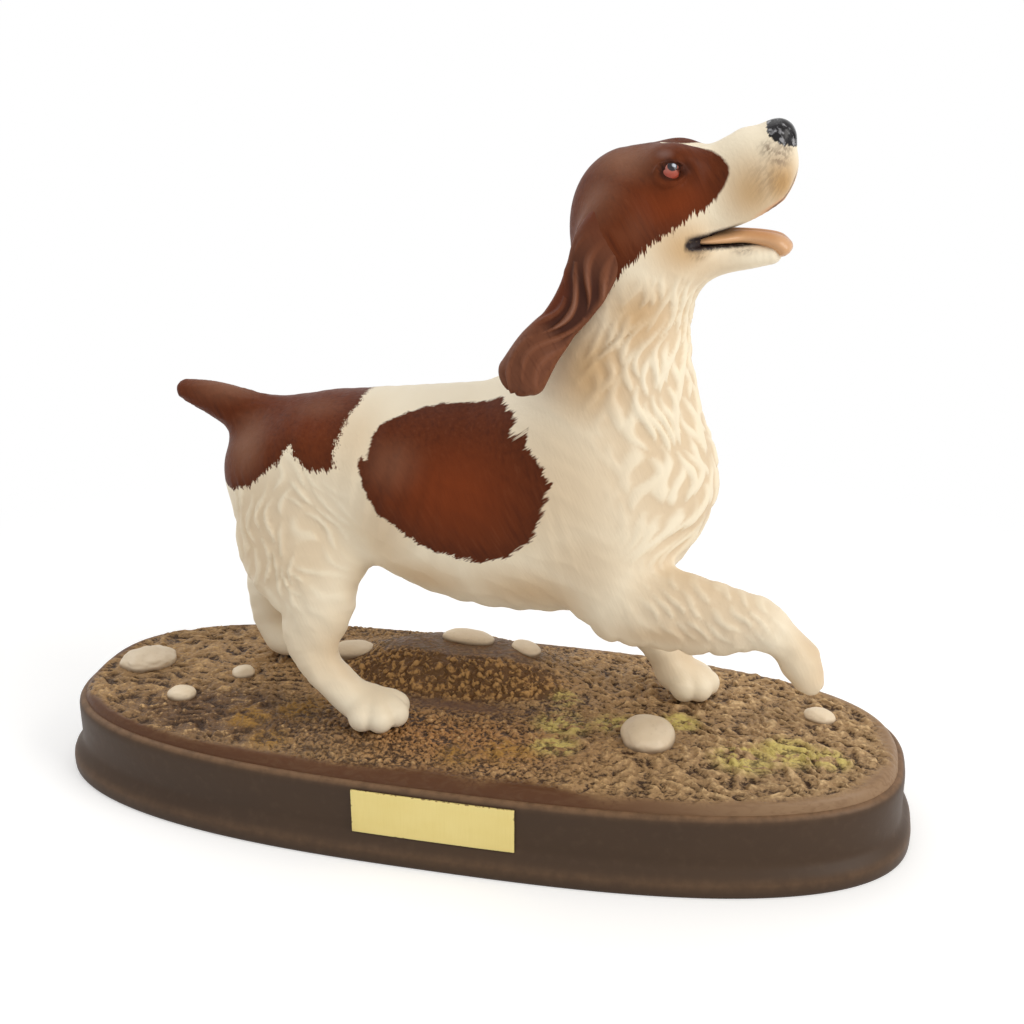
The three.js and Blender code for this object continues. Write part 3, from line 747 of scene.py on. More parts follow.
LIDS = pair(
    blend(
        0.4,
        limb((52.6, 13, 166.2, 0.5, 0.5), (54.4, 13.9, 168.8, 0.9, 0.9), (57, 14.2, 169.7, 1.1, 1.1),
             (59.5, 13.4, 169.1, 0.9, 0.9), (61.2, 12.2, 167, 0.5, 0.5)),
        limb((52.6, 13, 166.2, 0.5, 0.5), (54.5, 14, 164.9, 0.6, 0.6), (56.8, 14.4, 164.5, 0.7, 0.7),
             (59.3, 13.6, 165.2, 0.6, 0.6), (61.2, 12.2, 167, 0.5, 0.5)),
    )
)
SOCKETS = pair(lump((61.4, 13.9, 167.8), (3, 1.7, 2.8), 20))
FURROW = limb((50, 0, 182.2, 6, 6), (55, 0, 180, 6, 6), (59, 0, 178.6, 6, 6), (63, 0, 177.6, 5, 5),
              (68, 0, 178.8, 3.4, 3.4))
NOSTRILS = pair(lump((87, 3.1, 175.6), (2.2, 1.1, 1.5), 20))
FACE = carved(blend(2, blend(5, SKULL, EAR_ROOTS), NOSE), 2.5, SOCKETS, FURROW)
HEAD = carved(blend(0.7, FACE, LIDS), 0.3, MOUTH, NOSTRILS)
TAIL = limb((-62, 0, 86, 8.6, 8), (-74, 0, 91, 6.6, 6.2), (-80.5, 0, 93.4, 5.4, 5.2),
            (-87, 0, 95.2, 4.2, 4.2), (-91, 0, 96.2, 3.2, 3.2))
HIND_RIGHT = blend(
    1.5,
    blend(
        5,
        limb((-50, -11, 67, 18, 11), (-50.4, -15, 58, 20, 12), (-47, -18, 46.5, 15.4, 11),
             (-44, -20, 37, 11, 9), (-46, -21, 27, 8.8, 7.4), (-43.6, -21.8, 18.4, 6.4, 6.4),
             (-37, -22.2, 11.6, 5.6, 6.4)),
        lump((-38, -16.5, 52.2), (8, 6, 7.6)),
        lump((-60, -15, 50), (7.5, 7, 9), 20),
        lump((-56, -19.5, 47), (6.5, 5, 5.5), 30),
        lump((-29, -21.8, 6.2), (8.6, 8.2, 5.6), -8),
    ),
    toes(-27.4, -21.2, -36, 8.5),
)
HIND_LEFT = blend(
    1.5,
    blend(
        5,
        limb((-50, 11, 66, 17, 11), (-56, 15, 55, 17, 11), (-67, 16.5, 41, 11, 8.6),
             (-75.5, 17, 27, 7.4, 6.6), (-75.5, 17, 14, 6.2, 6.2), (-72, 17, 7.6, 5.8, 6.6)),
        lump((-68, 17, 6.2), (7.6, 7.4, 5.4), -8),
    ),
    toes(-66.5, 17, 4, 8),
)
FORE_RIGHT = blend(
    0.7,
    blend(
        6,
        limb((43, -16, 68, 16, 11), (46, -19, 52.6, 13.6, 10.5), (54, -20, 48, 12.2, 9.6),
             (66, -20.5, 47, 11.2, 8.8), (79, -20.5, 45.6, 9.4, 7.6), (87.2, -20, 45, 7.4, 6.8),
             (94.2, -19.5, 41, 5.4, 6), (99.4, -19, 35.4, 4.4, 5.6)),
        limb((100.6, -19, 33.6, 4.4, 6.2), (102.6, -19, 29.4, 4.3, 6)),
    ),
    lump((103.3, -22.7, 28.9), (2.7, 2, 3.7), 24),
    lump((104, -19, 28.4), (2.8, 2, 3.9), 24),
    lump((103.3, -15.3, 28.9), (2.7, 2, 3.7), 24),
)
FORE_LEFT = blend(
    1.5,
    blend(
        5,
        limb((43, 16, 66, 16, 11), (39, 18, 50, 13, 10), (45.6, 18, 32.4, 10, 8.4), (54.4, 18, 20, 6.8, 7),
             (59.4, 18, 12, 5.6, 6.2)),
        lump((63.2, 18.3, 6.4), (7.6, 7.4, 5.6), -10),
    ),
    toes(64, 18.6, -22, 7.2),
)
DOG = carved(
    blend(6, blend(6, blend(14, TORSO, HEAD), TAIL), HIND_RIGHT, HIND_LEFT, FORE_RIGHT, FORE_LEFT),
    0.3,
    MOUTH,
    NOSTRILS,
)


def settled(points, form, passes=4, stride=1.2):
    """Points moved square to a form until they lie on its surface."""
    step = 0.05
    for _ in range(passes):
        value = form(points)
        slope = np.column_stack([form(points + step * axis) - value for axis in np.eye(3)]) / step
        steep = np.maximum((slope**2).sum(axis=1), 0.15)
        points = points - np.clip(value / steep, -stride, stride)[:, None] * slope
    return points


# Sculpted hair


def drawn(number):
    """A fixed draw from 0 to 1 for each whole number."""
    return np.modf(np.abs(np.sin(number * 12.9898 + 4.1)) * 43758.5453)[0]


def wander(points, size):
    """A slow wave through space, from about -1 to 1."""
    x, y, z = points.T / size
    slow = 0.5 * np.sin(1.7 * x + 0.6 * y + 1.1 * z) + 0.3 * np.sin(1.9 * y - 0.8 * x + 2.3 * z + 1.7)
    return slow + 0.2 * np.sin(2.9 * x - 1.1 * y + 0.7 * z + 4)


def locks(across, along, width, length, seed, sway=0.4, crisp=1):
    """Height from 0 to 1 of rows of bent, tapered locks, for places across them and along them in mm."""
    column = np.floor(across / width)
    off = 2 * (across / width - column) - 1
    travel = along / length * (0.8 + 0.4 * drawn(column + seed)) + drawn(1.7 * column + seed)
    row = np.floor(travel)
    share = travel - row
    own = drawn(5.3 * column + 9.1 * row + seed)
    bend = sway * np.sin(2 * np.pi * (share + own))
    half = 0.7 + 0.35 * rise(share, 0, 0.25) - 0.8 * rise(share, 0.5, 1)
    half = np.clip(half, 0.15, 1.02 - np.abs(bend))
    ridge = 0.5 + 0.5 * np.cos(np.pi * np.clip((off - bend) / half, -1, 1))
    tall = (0.35 + 0.65 * rise(share, 0, 0.45)) * (1 - rise(share, 0.72, 1)) * (0.6 + 0.4 * own)
    return ridge**crisp * tall


def thatch(across, along, width, length, seed):
    """Two layers of locks, the second in the gaps of the first."""
    under = locks(across + width / 2, along + length / 2, width, 0.9 * length, seed + 50)
    return np.maximum(locks(across, along, width, length, seed), 0.85 * under)


def outline_distance(points, corners, rounded=False):
    """Distance in from a closed outline, positive inside, in its own plane."""
    best = np.full(len(points), 1e3)
    inside = np.zeros(len(points), bool)
    x, y = points.T
    ring = np.array(corners, float)
    if rounded:
        ring = spine(np.vstack([ring, ring[:1]]), 5)[:-1]
    for (ax, ay), (bx, by) in zip(ring, np.roll(ring, -1, axis=0)):
        way = np.array([bx - ax, by - ay])
        share = np.clip(((x - ax) * way[0] + (y - ay) * way[1]) / (way @ way), 0, 1)
        best = np.minimum(best, np.hypot(x - ax - share * way[0], y - ay - share * way[1]))
        crosses = (ay > y) != (by > y)
        inside ^= crosses & (x < (bx - ax) * (y - ay) / np.where(by == ay, 1, by - ay) + ax)
    return np.where(inside, best, -best)


# Painted patches. Those on the body are drawn along it and round it, from the middle of each side upwards
FLANK_PATCH = [
    (-25, 22), (-24, 25), (-21, 29), (-15, 32), (-7, 35), (2, 35), (12, 34), (14, 31), (18, 27), (17, 23),
    (22, 24), (22, 20), (25, 18), (27, 15), (30, 12), (28, 6), (26, 0), (23, -5), (17, -10), (9, -12),
    (0, -11), (-6, -10), (-12, -7), (-16, -4), (-21, -1), (-23, 2), (-26, 8), (-28, 14), (-27, 16),
    (-25, 15),
]
RUMP_PATCH = [
    (-100, -1), (-70, -1), (-67, 1), (-63, 3), (-59, 7), (-56, 10), (-53, 13), (-51, 17), (-50, 19),
    (-47, 14), (-44, 11), (-39, 11), (-35, 12), (-35, 16), (-35, 21), (-34, 27), (-33, 31), (-32, 38),
    (-32, 50), (-100, 50),
]
HEAD_PATCH = [
    (64, 190), (64.8, 175), (66.2, 173.2), (68.2, 171.9), (70.3, 170.7), (71.7, 169), (72.1, 167.2),
    (71.6, 165.4), (70.8, 163.5), (69.5, 161.5), (68.3, 159.7), (65.1, 157.4), (61.5, 154.9), (58, 152.3),
    (54.4, 149.9), (50.7, 146.5), (48.2, 143.8), (46.6, 142.1), (43, 138), (38, 132), (30, 134),
    (10, 140), (10, 190),
]
# Half the width of the white blaze, by the way along the head
BLAZE = ((46, 52, 54, 56, 59, 61, 63, 66, 74), (-2, 0.2, 1.4, 2.6, 3.6, 4.4, 5.2, 5.4, 5.4))
GIRTH = 29
MID_BODY = 72
FLANK_TO = 117  # height up to which the flank's patch is laid
HEAD_FROM = 118  # height from which the head's is
UNPAINTED = -20


def dog_glaze():
    glaze = Finish("dog_glaze", 0.48, gloss=0.2)
    cloud = glaze.grain((30, 30, 30), detail=2)
    fine = glaze.grain((1.4, 1.4, 1.4), detail=4)
    cream = glaze.over(cloud, tint(248, 237, 214), tint(240, 225, 197))
    # Brown airbrush and painted shade in the hollows, and painted shade in the grooves between the locks
    cream = glaze.coats(cream, airbrush=(194, 154, 102), groove=(192, 152, 102))
    liver = glaze.over(cloud, tint(90, 41, 20), tint(104, 51, 26))
    streak = glaze.grain((14, 1.2, 1.2), 60, detail=4)
    liver = glaze.over(glaze.between(streak, 0.45, 0.75, 0, 0.45), liver, tint(66, 30, 18))
    liver = glaze.over(glaze.between(streak, 0.46, 0.28, 0, 0.3), liver, tint(118, 66, 42))
    liver = glaze.coats(liver, rust=(120, 54, 24), sheen=(140, 98, 76))
    feather = glaze.mask("feather")
    covered = None
    rim = None
    patches = (("head_patch", 84, 6, 2.2), ("flank_patch", -38, 8, 4.2), ("rump_patch", 70, 7, 4.2))
    for name, turn, long, tufted in patches:
        hairs = glaze.calc("SUBTRACT", glaze.grain((long, 0.4, 0.4), turn, detail=2), 0.5)
        tufts = glaze.calc("SUBTRACT", glaze.grain((long, 1.6, 1.6), turn, detail=1), 0.5)
        strokes = glaze.plus(glaze.times(hairs, 5.0), glaze.times(tufts, tufted))
        spikes = glaze.times(strokes, feather)
        depth = glaze.plus(glaze.mask(name), spikes)
        patch = glaze.between(depth, -0.4, 0.45)
        inner = glaze.between(depth, 0.3, 6)
        covered = glaze.calc("MAXIMUM", covered, patch) if covered else patch
        rim = glaze.calc("MAXIMUM", rim, inner) if rim else inner
    liver = glaze.over(glaze.times(glaze.rest(rim), 0.28), liver, tint(62, 29, 17))
    coat = glaze.over(covered, cream, liver)
    # Painted highlight on the brow; dark lid rims, with painted shade in the socket in front of the eye
    coat = glaze.coats(coat, brow=(134, 104, 96), lid=(44, 25, 21))
    whisker = glaze.grain((5, 0.7, 0.7), 125, detail=3)
    # Dark strokes, over a soft painted shade, round the nose and below the mouth
    grime = glaze.times(glaze.mask("smudge"), glaze.between(whisker, 0.38, 0.62, 0.35, 1))
    coat = glaze.over(grime, coat, tint(108, 88, 70))
    coat = glaze.coats(coat, flesh=(218, 168, 128), palate=(112, 62, 54))
    # Dark lips and mouth corners, and painted shade deep inside the mouth
    dark = glaze.times(glaze.mask("lip"), glaze.between(fine, 0.2, 0.5, 0.7, 1))
    coat = glaze.over(dark, coat, tint(34, 22, 22))
    leather = glaze.plus(glaze.mask("nose"), glaze.times(whisker, 0.5))
    leather = glaze.between(leather, 0.62, 0.78)
    # Grey-white dabs on the black nose: brush marks and painted highlights
    dabs = glaze.between(glaze.grain((2.6, 1.3, 1.6), 50), 0.54, 0.66, 0, 0.75)
    black = glaze.over(dabs, tint(30, 28, 30), tint(168, 168, 172))
    glaze.colour(glaze.over(leather, coat, black))
    satin = glaze.between(fine, 0.3, 0.7, 0.42, 0.5)
    glaze.rough(glaze.node("ShaderNodeMix", {0: leather, 2: satin, 3: 0.2}).outputs[0])
    glaze.relief(glaze.grain((7, 0.8, 0.8), 65, detail=4), 0.1)
    dull = glaze.calc("SUBTRACT", covered, leather, clamp=True)
    glaze.gloss(glaze.between(dull, 0, 1, 0.2, 0.07))
    return glaze


DOG_NODES = ("torso", "head", "tail", "leg_hind_right", "leg_hind_left", "leg_fore_right", "leg_fore_left")
DOG_VOXEL = 0.8
DOG_TRIANGLES = 192000
FACE_FROM = (48, 138)  # x and z, past which the face is cut finer
SEAM_SWELL = 0.5  # by which the castings grow, to close the lines between them
SOLE_DEPTH = 1.8  # how far a paw may go into the ground
PAW_TOP = 12


def one_casting(name, nodes):
    """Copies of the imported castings, merged, swollen past their seams and fused into one skin."""
    bpy.ops.object.select_all(action="DESELECT")
    for node in nodes:
        copy = bpy.data.objects.new(name, frame["nodes"][node].data.copy())
        scene.collection.objects.link(copy)
        copy.select_set(True)
        bpy.context.view_layer.objects.active = copy
    bpy.ops.object.join()
    piece = added(name)
    with editing():
        bpy.ops.mesh.select_all(action="SELECT")
        bpy.ops.mesh.remove_doubles(threshold=1e-6)
        bpy.ops.transform.shrink_fatten(value=SEAM_SWELL * MM)
    fused = piece.modifiers.new("fused", "REMESH")
    fused.mode = "VOXEL"
    fused.voxel_size = DOG_VOXEL * MM
    bpy.ops.object.modifier_apply(modifier="fused")
    outer = int(points_of(piece)[:, 2].argmax())
    with editing():
        bpy.ops.mesh.select_mode(type="VERT")
        bpy.ops.mesh.select_all(action="DESELECT")
    piece.data.vertices[outer].select = True
    with editing():
        bpy.ops.mesh.select_linked()
        bpy.ops.mesh.select_all(action="INVERT")
        bpy.ops.mesh.delete(type="VERT")
    return piece


def cut_finer(piece, chosen):
    """Each chosen face cut into four."""
    alone(piece)
    with editing():
        bpy.ops.mesh.select_mode(type="FACE")
        bpy.ops.mesh.select_all(action="DESELECT")
    piece.data.polygons.foreach_set("select", chosen)
    with editing():
        bpy.ops.mesh.subdivide(number_cuts=1)


def thinned(piece, most):
    """The edges that matter least collapsed, until the piece has no more triangles than that."""
    triangles = sum(len(face.vertices) - 2 for face in piece.data.polygons)
    thin = piece.modifiers.new("thin", "DECIMATE")
    thin.ratio = min(1, most / triangles)
    alone(piece)
    bpy.ops.object.modifier_apply(modifier="thin")


def dog_hair(points):
    """Locks on the chest, neck, thighs and legs, and finer waves on the rest of the coat."""
    x, y, z = points.T
    wide = np.abs(y)
    middle = np.interp(z, (60, 86, 103, 118, 132, 146), (30, 36, 40, 42, 45.4, 47))
    facing = np.degrees(np.arctan2(x - middle, wide))
    around = np.arctan2(y, x - middle) + np.pi / 2
    start = np.interp(z, (66, 84, 100, 120, 140), (24, 9, -8, -34, -12))
    chest = rise(facing, start, start + 42) * rise(z, 54, 66) * (1 - rise(z, 132, 144))
    chest = chest * (1 - rise(x, 66, 76) * (1 - rise(z, 58, 64)))
    sweep = 5 * np.cos(2 * np.pi * (z - 112) / 56)
    round_chest = 24 * around + sweep + 2.2 * wander(points, 8)
    chest_locks = thatch(round_chest, 150 - z, 6, 15, 1)
    thigh = np.clip(1.8 * spot(np.column_stack([x, wide, z]), (-53, 25, 61), (30, 22, 33)), 0, 1)
    forward = rise(x, -54, -42)
    hanging = locks(x + 3.4 * wander(points, 8), 88 - z, 4, 16, 3, 0.4, 1.3)
    swept = locks((x + 1.1 * z) / 1.49 + 3.4 * wander(points, 9), (x - z) / 1.41, 4.2, 17, 4, 0.4, 1.3)
    thigh_locks = ((1 - forward) * hanging + forward * swept) * (0.8 + 0.35 * wander(points, 12))
    fore = np.clip(1.7 * spot(points, (74, -26, 50), (30, 14, 15)), 0, 1)
    fore = np.maximum(fore, 0.6 * spot(points, (48, 20, 40), (20, 16, 30)))
    down = (x + z) / 1.41 + 1.2 * wander(points, 6)
    fore_locks = locks(down, (x - z) / 1.41, 3.4, 11, 5, 0.25, 1.4)
    coat = 1 - np.maximum.reduce([chest, thigh, fore, rise(z, 140, 150), 1 - rise(z, 24, 36)])
    coat = np.clip(coat, 0, 1) * rise(x, -66, -56)
    coat_locks = locks(z + 0.4 * x + 1.5 * wander(points, 14), 100 - x, 6.5, 24, 6)
    tail = rise(-x, 58, 66) * rise(z, 74, 80)
    tail_locks = locks(6 * np.arctan2(y, z - 93) + wander(points, 9), -x, 3.6, 18, 7)
    dents = wander(points, 2.4) * rise(z, 8, 14) * (1 - rise(z, 44, 60))
    relief = 1.35 * chest * chest_locks + 1.25 * thigh * thigh_locks + 0.8 * fore * fore_locks + 0.3 * dents
    relief = relief + 0.2 * coat * coat_locks + 0.25 * tail * tail_locks
    # Shares of painted shade in the grooves between the locks, laid in tan
    hollow = 0.8 * chest * (1 - rise(chest_locks, 0.08, 0.5))
    hollow = hollow + 0.5 * thigh * (1 - rise(thigh_locks, 0.05, 0.4))
    hollow = hollow + 0.45 * fore * (1 - rise(fore_locks, 0.05, 0.4))
    sink = 0.6 * chest + 0.45 * thigh + 0.3 * fore
    return relief - sink, np.clip(hollow, 0, 1)


def fringe(points, normals):
    """How far the feathering hangs below the lifted leg, the elbow, the belly and the thigh, in scallops."""
    x, y = points.T[:2]
    under = rise(-normals[:, 2], 0.1, 0.8)
    leg = under * spot(points, (72, -20, 38), (26, 14, 12))
    elbow = under * spot(points, (46, -22, 42), (16, 12, 14))
    belly = under * spot(points, (10, 0, 40), (44, 26, 18))
    lobes = np.abs(np.sin(np.pi * (x + 0.25 * y) / 8.6)) ** 0.7
    thigh = under * spot(points, (-59, -18, 44), (12, 10, 12))
    return (2.4 * leg + 2.6 * elbow + 0.6 * belly + 2.6 * thigh) * lobes


# Brown airbrush and painted shade in the hollows of both sides: middle, reach and strength
AIRBRUSH = [
    ((38, 24, 116), (18, 16, 26), 0.85), ((50, 18, 130), (16, 16, 16), 0.7),
    ((24, 24, 50), (34, 16, 18), 0.6), ((-10, 22, 50), (28, 16, 14), 0.6),
    ((-20, 26, 66), (16, 18, 34), 0.45), ((38, 30, 62), (24, 18, 28), 0.4),
    ((62, 28, 42), (30, 14, 9), 0.55), ((78, 8, 163), (14, 12, 14), 0.9),
    ((62, 8, 143), (22, 14, 8), 0.55), ((60, 13, 148), (20, 12, 13), 0.9),
    ((32, 30, 84), (38, 22, 38), 0.42), ((-24, 22, 44), (14, 12, 14), 0.6),
    ((85, 7, 165), (12, 10, 12), 1), ((62, 22, 46), (44, 14, 26), 0.62),
    ((100, 20, 32), (18, 12, 22), 0.75), ((-40, 24, 24), (26, 12, 26), 0.4),
    ((60, 18, 14), (24, 12, 20), 0.5), ((-54, 20, 56), (26, 16, 30), 0.3),
    ((-30, 20, 90), (14, 24, 26), 0.35), ((-28, 22, 6), (14, 14, 10), 0.35),
    ((-70, 17, 20), (14, 10, 26), 0.6),
]

# Dark strokes, over a soft painted shade, round the nose and below the mouth
SMUDGES = [
    ((82, 8, 166), (9, 7, 9), 0.55), ((86, 5.4, 174), (5, 5, 4.5), 1),
    ((84.5, 6.8, 171.4), (6, 5, 5.5), 1), ((81.5, 7.2, 173.4), (4, 4, 4), 1),
    ((64.5, 11, 146.2), (5, 5, 2.6), 1), ((77, 7, 147), (5, 4, 2.2), 1),
]

# Redder brown in the middle of the patches
RUST = [
    ((2, 28, 80), (28, 18, 20), 0.9), ((60, 14, 159), (18, 12, 9), 0.9),
    ((-44, 20, 92), (12, 16, 10), 0.25),
]

# Lighter brown, where the liver patches turn to the light
SHEEN = [
    ((44, 8, 170), (16, 14, 10), 0.75), ((38, 14, 158), (12, 10, 16), 0.6),
    ((-66, 14, 84), (12, 18, 14), 0.75), ((-18, 28, 88), (14, 12, 14), 0.5),
    ((-78, 0, 98), (18, 9, 9), 0.7), ((48, 15, 152), (8, 8, 8), 0.3), ((-46, 12, 98), (14, 10, 6), 0.4),
]


def dog_paint(piece, points, groove):
    x, y, z = points.T
    round_body = GIRTH * np.arctan2(z - MID_BODY, np.abs(y))
    side = np.column_stack([x, round_body])
    mirrored = np.column_stack([x, np.abs(y), z])
    flank = np.where(y > 0, outline_distance(side * (1.08, 1.05) + (7, 2), FLANK_PATCH),
                     outline_distance(side, FLANK_PATCH))
    rump = outline_distance(side, RUMP_PATCH)
    nape = 6 * np.exp(-(y / 7) ** 2) * (1 - rise(x, 40, 50))
    head = outline_distance(np.column_stack([x, z + nape]), HEAD_PATCH, rounded=True)
    below = np.maximum(np.interp(x, (40, 52, 64, 74), (168, 168, 167, 169)) - z, 0)
    head = soft_min(head, np.abs(y) - np.interp(x, *BLAZE) + 1.5 * below, 1.2)
    ragged = np.maximum(rise(x, 6, 16), rise(-round_body, 0, 7))
    on_body = np.where(x > -30, 0.35 + 0.4 * ragged, 0.8)
    feather = np.where(z > HEAD_FROM, 1 - rise(z, 158, 163), on_body)
    paint_masks(
        piece,
        flank_patch=np.where(z < FLANK_TO, flank, UNPAINTED),
        rump_patch=np.where((x < -20) & (z > 66), rump, UNPAINTED),
        head_patch=np.where(z > HEAD_FROM, head, UNPAINTED),
        feather=np.maximum(feather, 0.08),
        rust=strongest(mirrored, RUST),
        sheen=strongest(mirrored, SHEEN),
        # Brown airbrush and painted shade in the hollows, and painted shade in the grooves between the locks
        airbrush=strongest(mirrored, AIRBRUSH),
        groove=groove,
        smudge=0.75 * strongest(mirrored, SMUDGES),
    )
    face_paint(piece, points, mirrored)


def face_paint(piece, points, mirrored):
    """The nose, the rims of the eyes, and the lips, gums and palate."""
    x, y, z = points.T
    nose = -np.minimum(NOSE(points), 3)
    from_ball = np.linalg.norm(mirrored - EYE, axis=1) - EYE_RADIUS
    # Painted shade in the socket in front of the eye
    socket = 0.75 * spot(mirrored, (61, 13, 168.4), (3.2, 4, 3))
    lash = (0.7 + 0.25 * rise(z, 166, 168.4)) * (1 - rise(from_ball, 0.1, 1.1))
    gap = MOUTH(points)
    inside = 1 - rise(gap, 0.35, 1.1)
    roof = z > np.interp(x, (64, 76, 91), (149.2, 151, 155))
    edge = rise(FACE(points), -2.2, -0.8)
    under = (1 - rise(gap, 0.6, 1.6)) * rise(x, 77, 84) * roof
    front = rise(x, 81, 84) * rise(z, 154, 157) * (1 - rise(z, 165, 169))
    aside = np.abs(y) - np.interp(z, (154, 159, 162.7, 167, 169), (8, 6.6, 4.3, 2, 1.2))
    rim = front * (1 - rise(aside, -0.5, 0)) * rise(aside, -3, -1.6)
    corner = 1.8 * spot(mirrored, (65, 11.5, 149.4), (4.4, 6, 2.8))
    # The lower lip, and painted shade deep inside the mouth
    lower = inside * ~roof + inside * (1 - rise(x, 72, 78))
    upper = 0.8 * front * (1 - rise(np.abs(aside), 0.2, 0.65))
    paint_masks(
        piece,
        nose=rise(nose, -1.8, 0.4) * rise(x, 79, 81.5) * rise(z, 171.4, 173.6),
        # Dark lid rims with painted shade in the socket, and a painted highlight on the brow
        lid=np.maximum(lash, socket),
        brow=0.85 * spot(mirrored, (55, 13, 172.2), (3.8, 4, 2)),
        flesh=np.maximum(under * edge, 0.8 * rim),
        palate=under * (1 - edge),
        lip=np.clip(np.maximum.reduce([lower, corner, upper]), 0, 1),
    )


def make_dog():
    piece = one_casting("dog_body", DOG_NODES)
    ground = np.array([0, 0, STAND])
    points = settled(points_of(piece) - ground, DOG)
    set_points(piece, points + ground)
    centres = np.empty(3 * len(piece.data.polygons))
    piece.data.polygons.foreach_get("center", centres)
    centres = centres.reshape(-1, 3) / MM - ground
    cut_finer(piece, (centres[:, 0] > FACE_FROM[0]) & (centres[:, 2] > FACE_FROM[1]))
    points = settled(points_of(piece) - ground, DOG, passes=2)
    set_points(piece, points + ground)
    normals = normals_of(piece)
    relief, hollow = dog_hair(points)
    hang = fringe(points, normals)
    shaped = points + normals * relief[:, None] - hang[:, None] * (0, 0, 1)
    sole = ground_height(points[:, 0], points[:, 1]) - STAND - SOLE_DEPTH
    low = points[:, 2] < PAW_TOP
    shaped[:, 2] = np.where(low, np.maximum(shaped[:, 2], sole), shaped[:, 2])
    set_points(piece, shaped + ground)
    dog_paint(piece, points, 0.55 * hollow)
    thinned(piece, DOG_TRIANGLES)
    finished(piece, dog_glaze(), "dog_glaze", *DOG_NODES)


make_dog()


# Ears, tongue and eyes


def turned_out(piece):
    """Every face turned round."""
    alone(piece)
    with editing():
        bpy.ops.mesh.select_all(action="SELECT")
        bpy.ops.mesh.flip_normals()


CAP = 0.8  # length of a rounded end, in half heights of its section


def lofted(name, stations, around, along):
    """A ball drawn out along a curve, with an oval section at each station. Also gives the way along it."""
    bpy.ops.mesh.primitive_uv_sphere_add(segments=around, ring_count=along, radius=1)
    piece = added(name)
    turned_out(piece)
    ball = points_of(piece) * MM
    beads = spine(stations, 12)
    lengths = np.concatenate([[0], np.cumsum(np.linalg.norm(np.diff(beads[:, :3], axis=0), axis=1))])
    first, last = CAP * beads[0, 3], CAP * beads[-1, 3]
    total = lengths[-1]
    height = np.clip(ball[:, 2], -1, 1)
    angle = np.arccos(height) / np.pi
    travel = -first + angle * (total + first + last)
    at = np.column_stack([np.interp(travel, lengths, beads[:, i]) for i in range(5)])
    middle = np.clip(travel, 0.5, total - 0.5)
    ahead = np.column_stack([np.interp(middle + 0.5, lengths, beads[:, i]) for i in range(3)])
    behind = np.column_stack([np.interp(middle - 0.5, lengths, beads[:, i]) for i in range(3)])
    way = ahead - behind
    way /= np.maximum(np.linalg.norm(way, axis=1), 1e-9)[:, None]
    before = np.clip(-travel / first, 0, 1)
    past = np.clip((travel - total) / last, 0, 1)
    at[:, :3] += way * (np.maximum(travel - total, 0) + np.minimum(travel, 0))[:, None]
    close = np.sqrt(np.clip(1 - np.maximum(before, past) ** 2, 0, 1))
    turn = np.arctan2(ball[:, 1], ball[:, 0])
    tall_way = np.column_stack([way[:, 2], np.zeros(len(way)), -way[:, 0]])
    tall_way /= np.maximum(np.linalg.norm(tall_way, axis=1), 1e-9)[:, None]
    offset = tall_way * (at[:, 3] * close * np.cos(turn))[:, None]
    offset[:, 1] += at[:, 4] * close * np.sin(turn)
    return piece, at[:, :3] + offset, way, travel / total, turn


EAR_STATIONS = [
    (46, -11.5, 161, 3, 2.5), (42.4, -16, 156, 5.2, 3.2), (40, -18.5, 149.5, 7, 3.4),
    (38, -20, 142, 6.9, 3.4), (34.6, -21.4, 134.5, 6, 3.4), (29.6, -22.8, 127.4, 5.3, 3.4),
    (25, -24.2, 121.6, 5.9, 4.4), (21.4, -25.3, 115.2, 6.5, 4.9),
]

EAR_LENGTH = 54
EAR_MESH = (160, 180)  # cuts round it and along it


def ear_glaze():
    glaze = Finish("liver_glaze", 0.42, gloss=0.12)
    cloud = glaze.grain((16, 16, 16), detail=2)
    streak = glaze.grain((14, 1, 1), 60, detail=4)
    liver = glaze.over(cloud, tint(110, 65, 43), tint(128, 80, 57))
    liver = glaze.over(glaze.between(streak, 0.45, 0.75, 0, 0.4), liver, tint(80, 43, 28))
    # Painted shade in the grooves between the folds and painted highlight on their crests; the root in the
    # head's brown, and a redder streak
    liver = glaze.coats(
        liver, root=(98, 49, 29), groove=(58, 28, 19), rust=(106, 48, 24), crest=(164, 120, 100))
    glaze.colour(liver)
    glaze.rough(glaze.between(streak, 0.3, 0.7, 0.38, 0.48))
    glaze.relief(streak, 0.12)
    return glaze


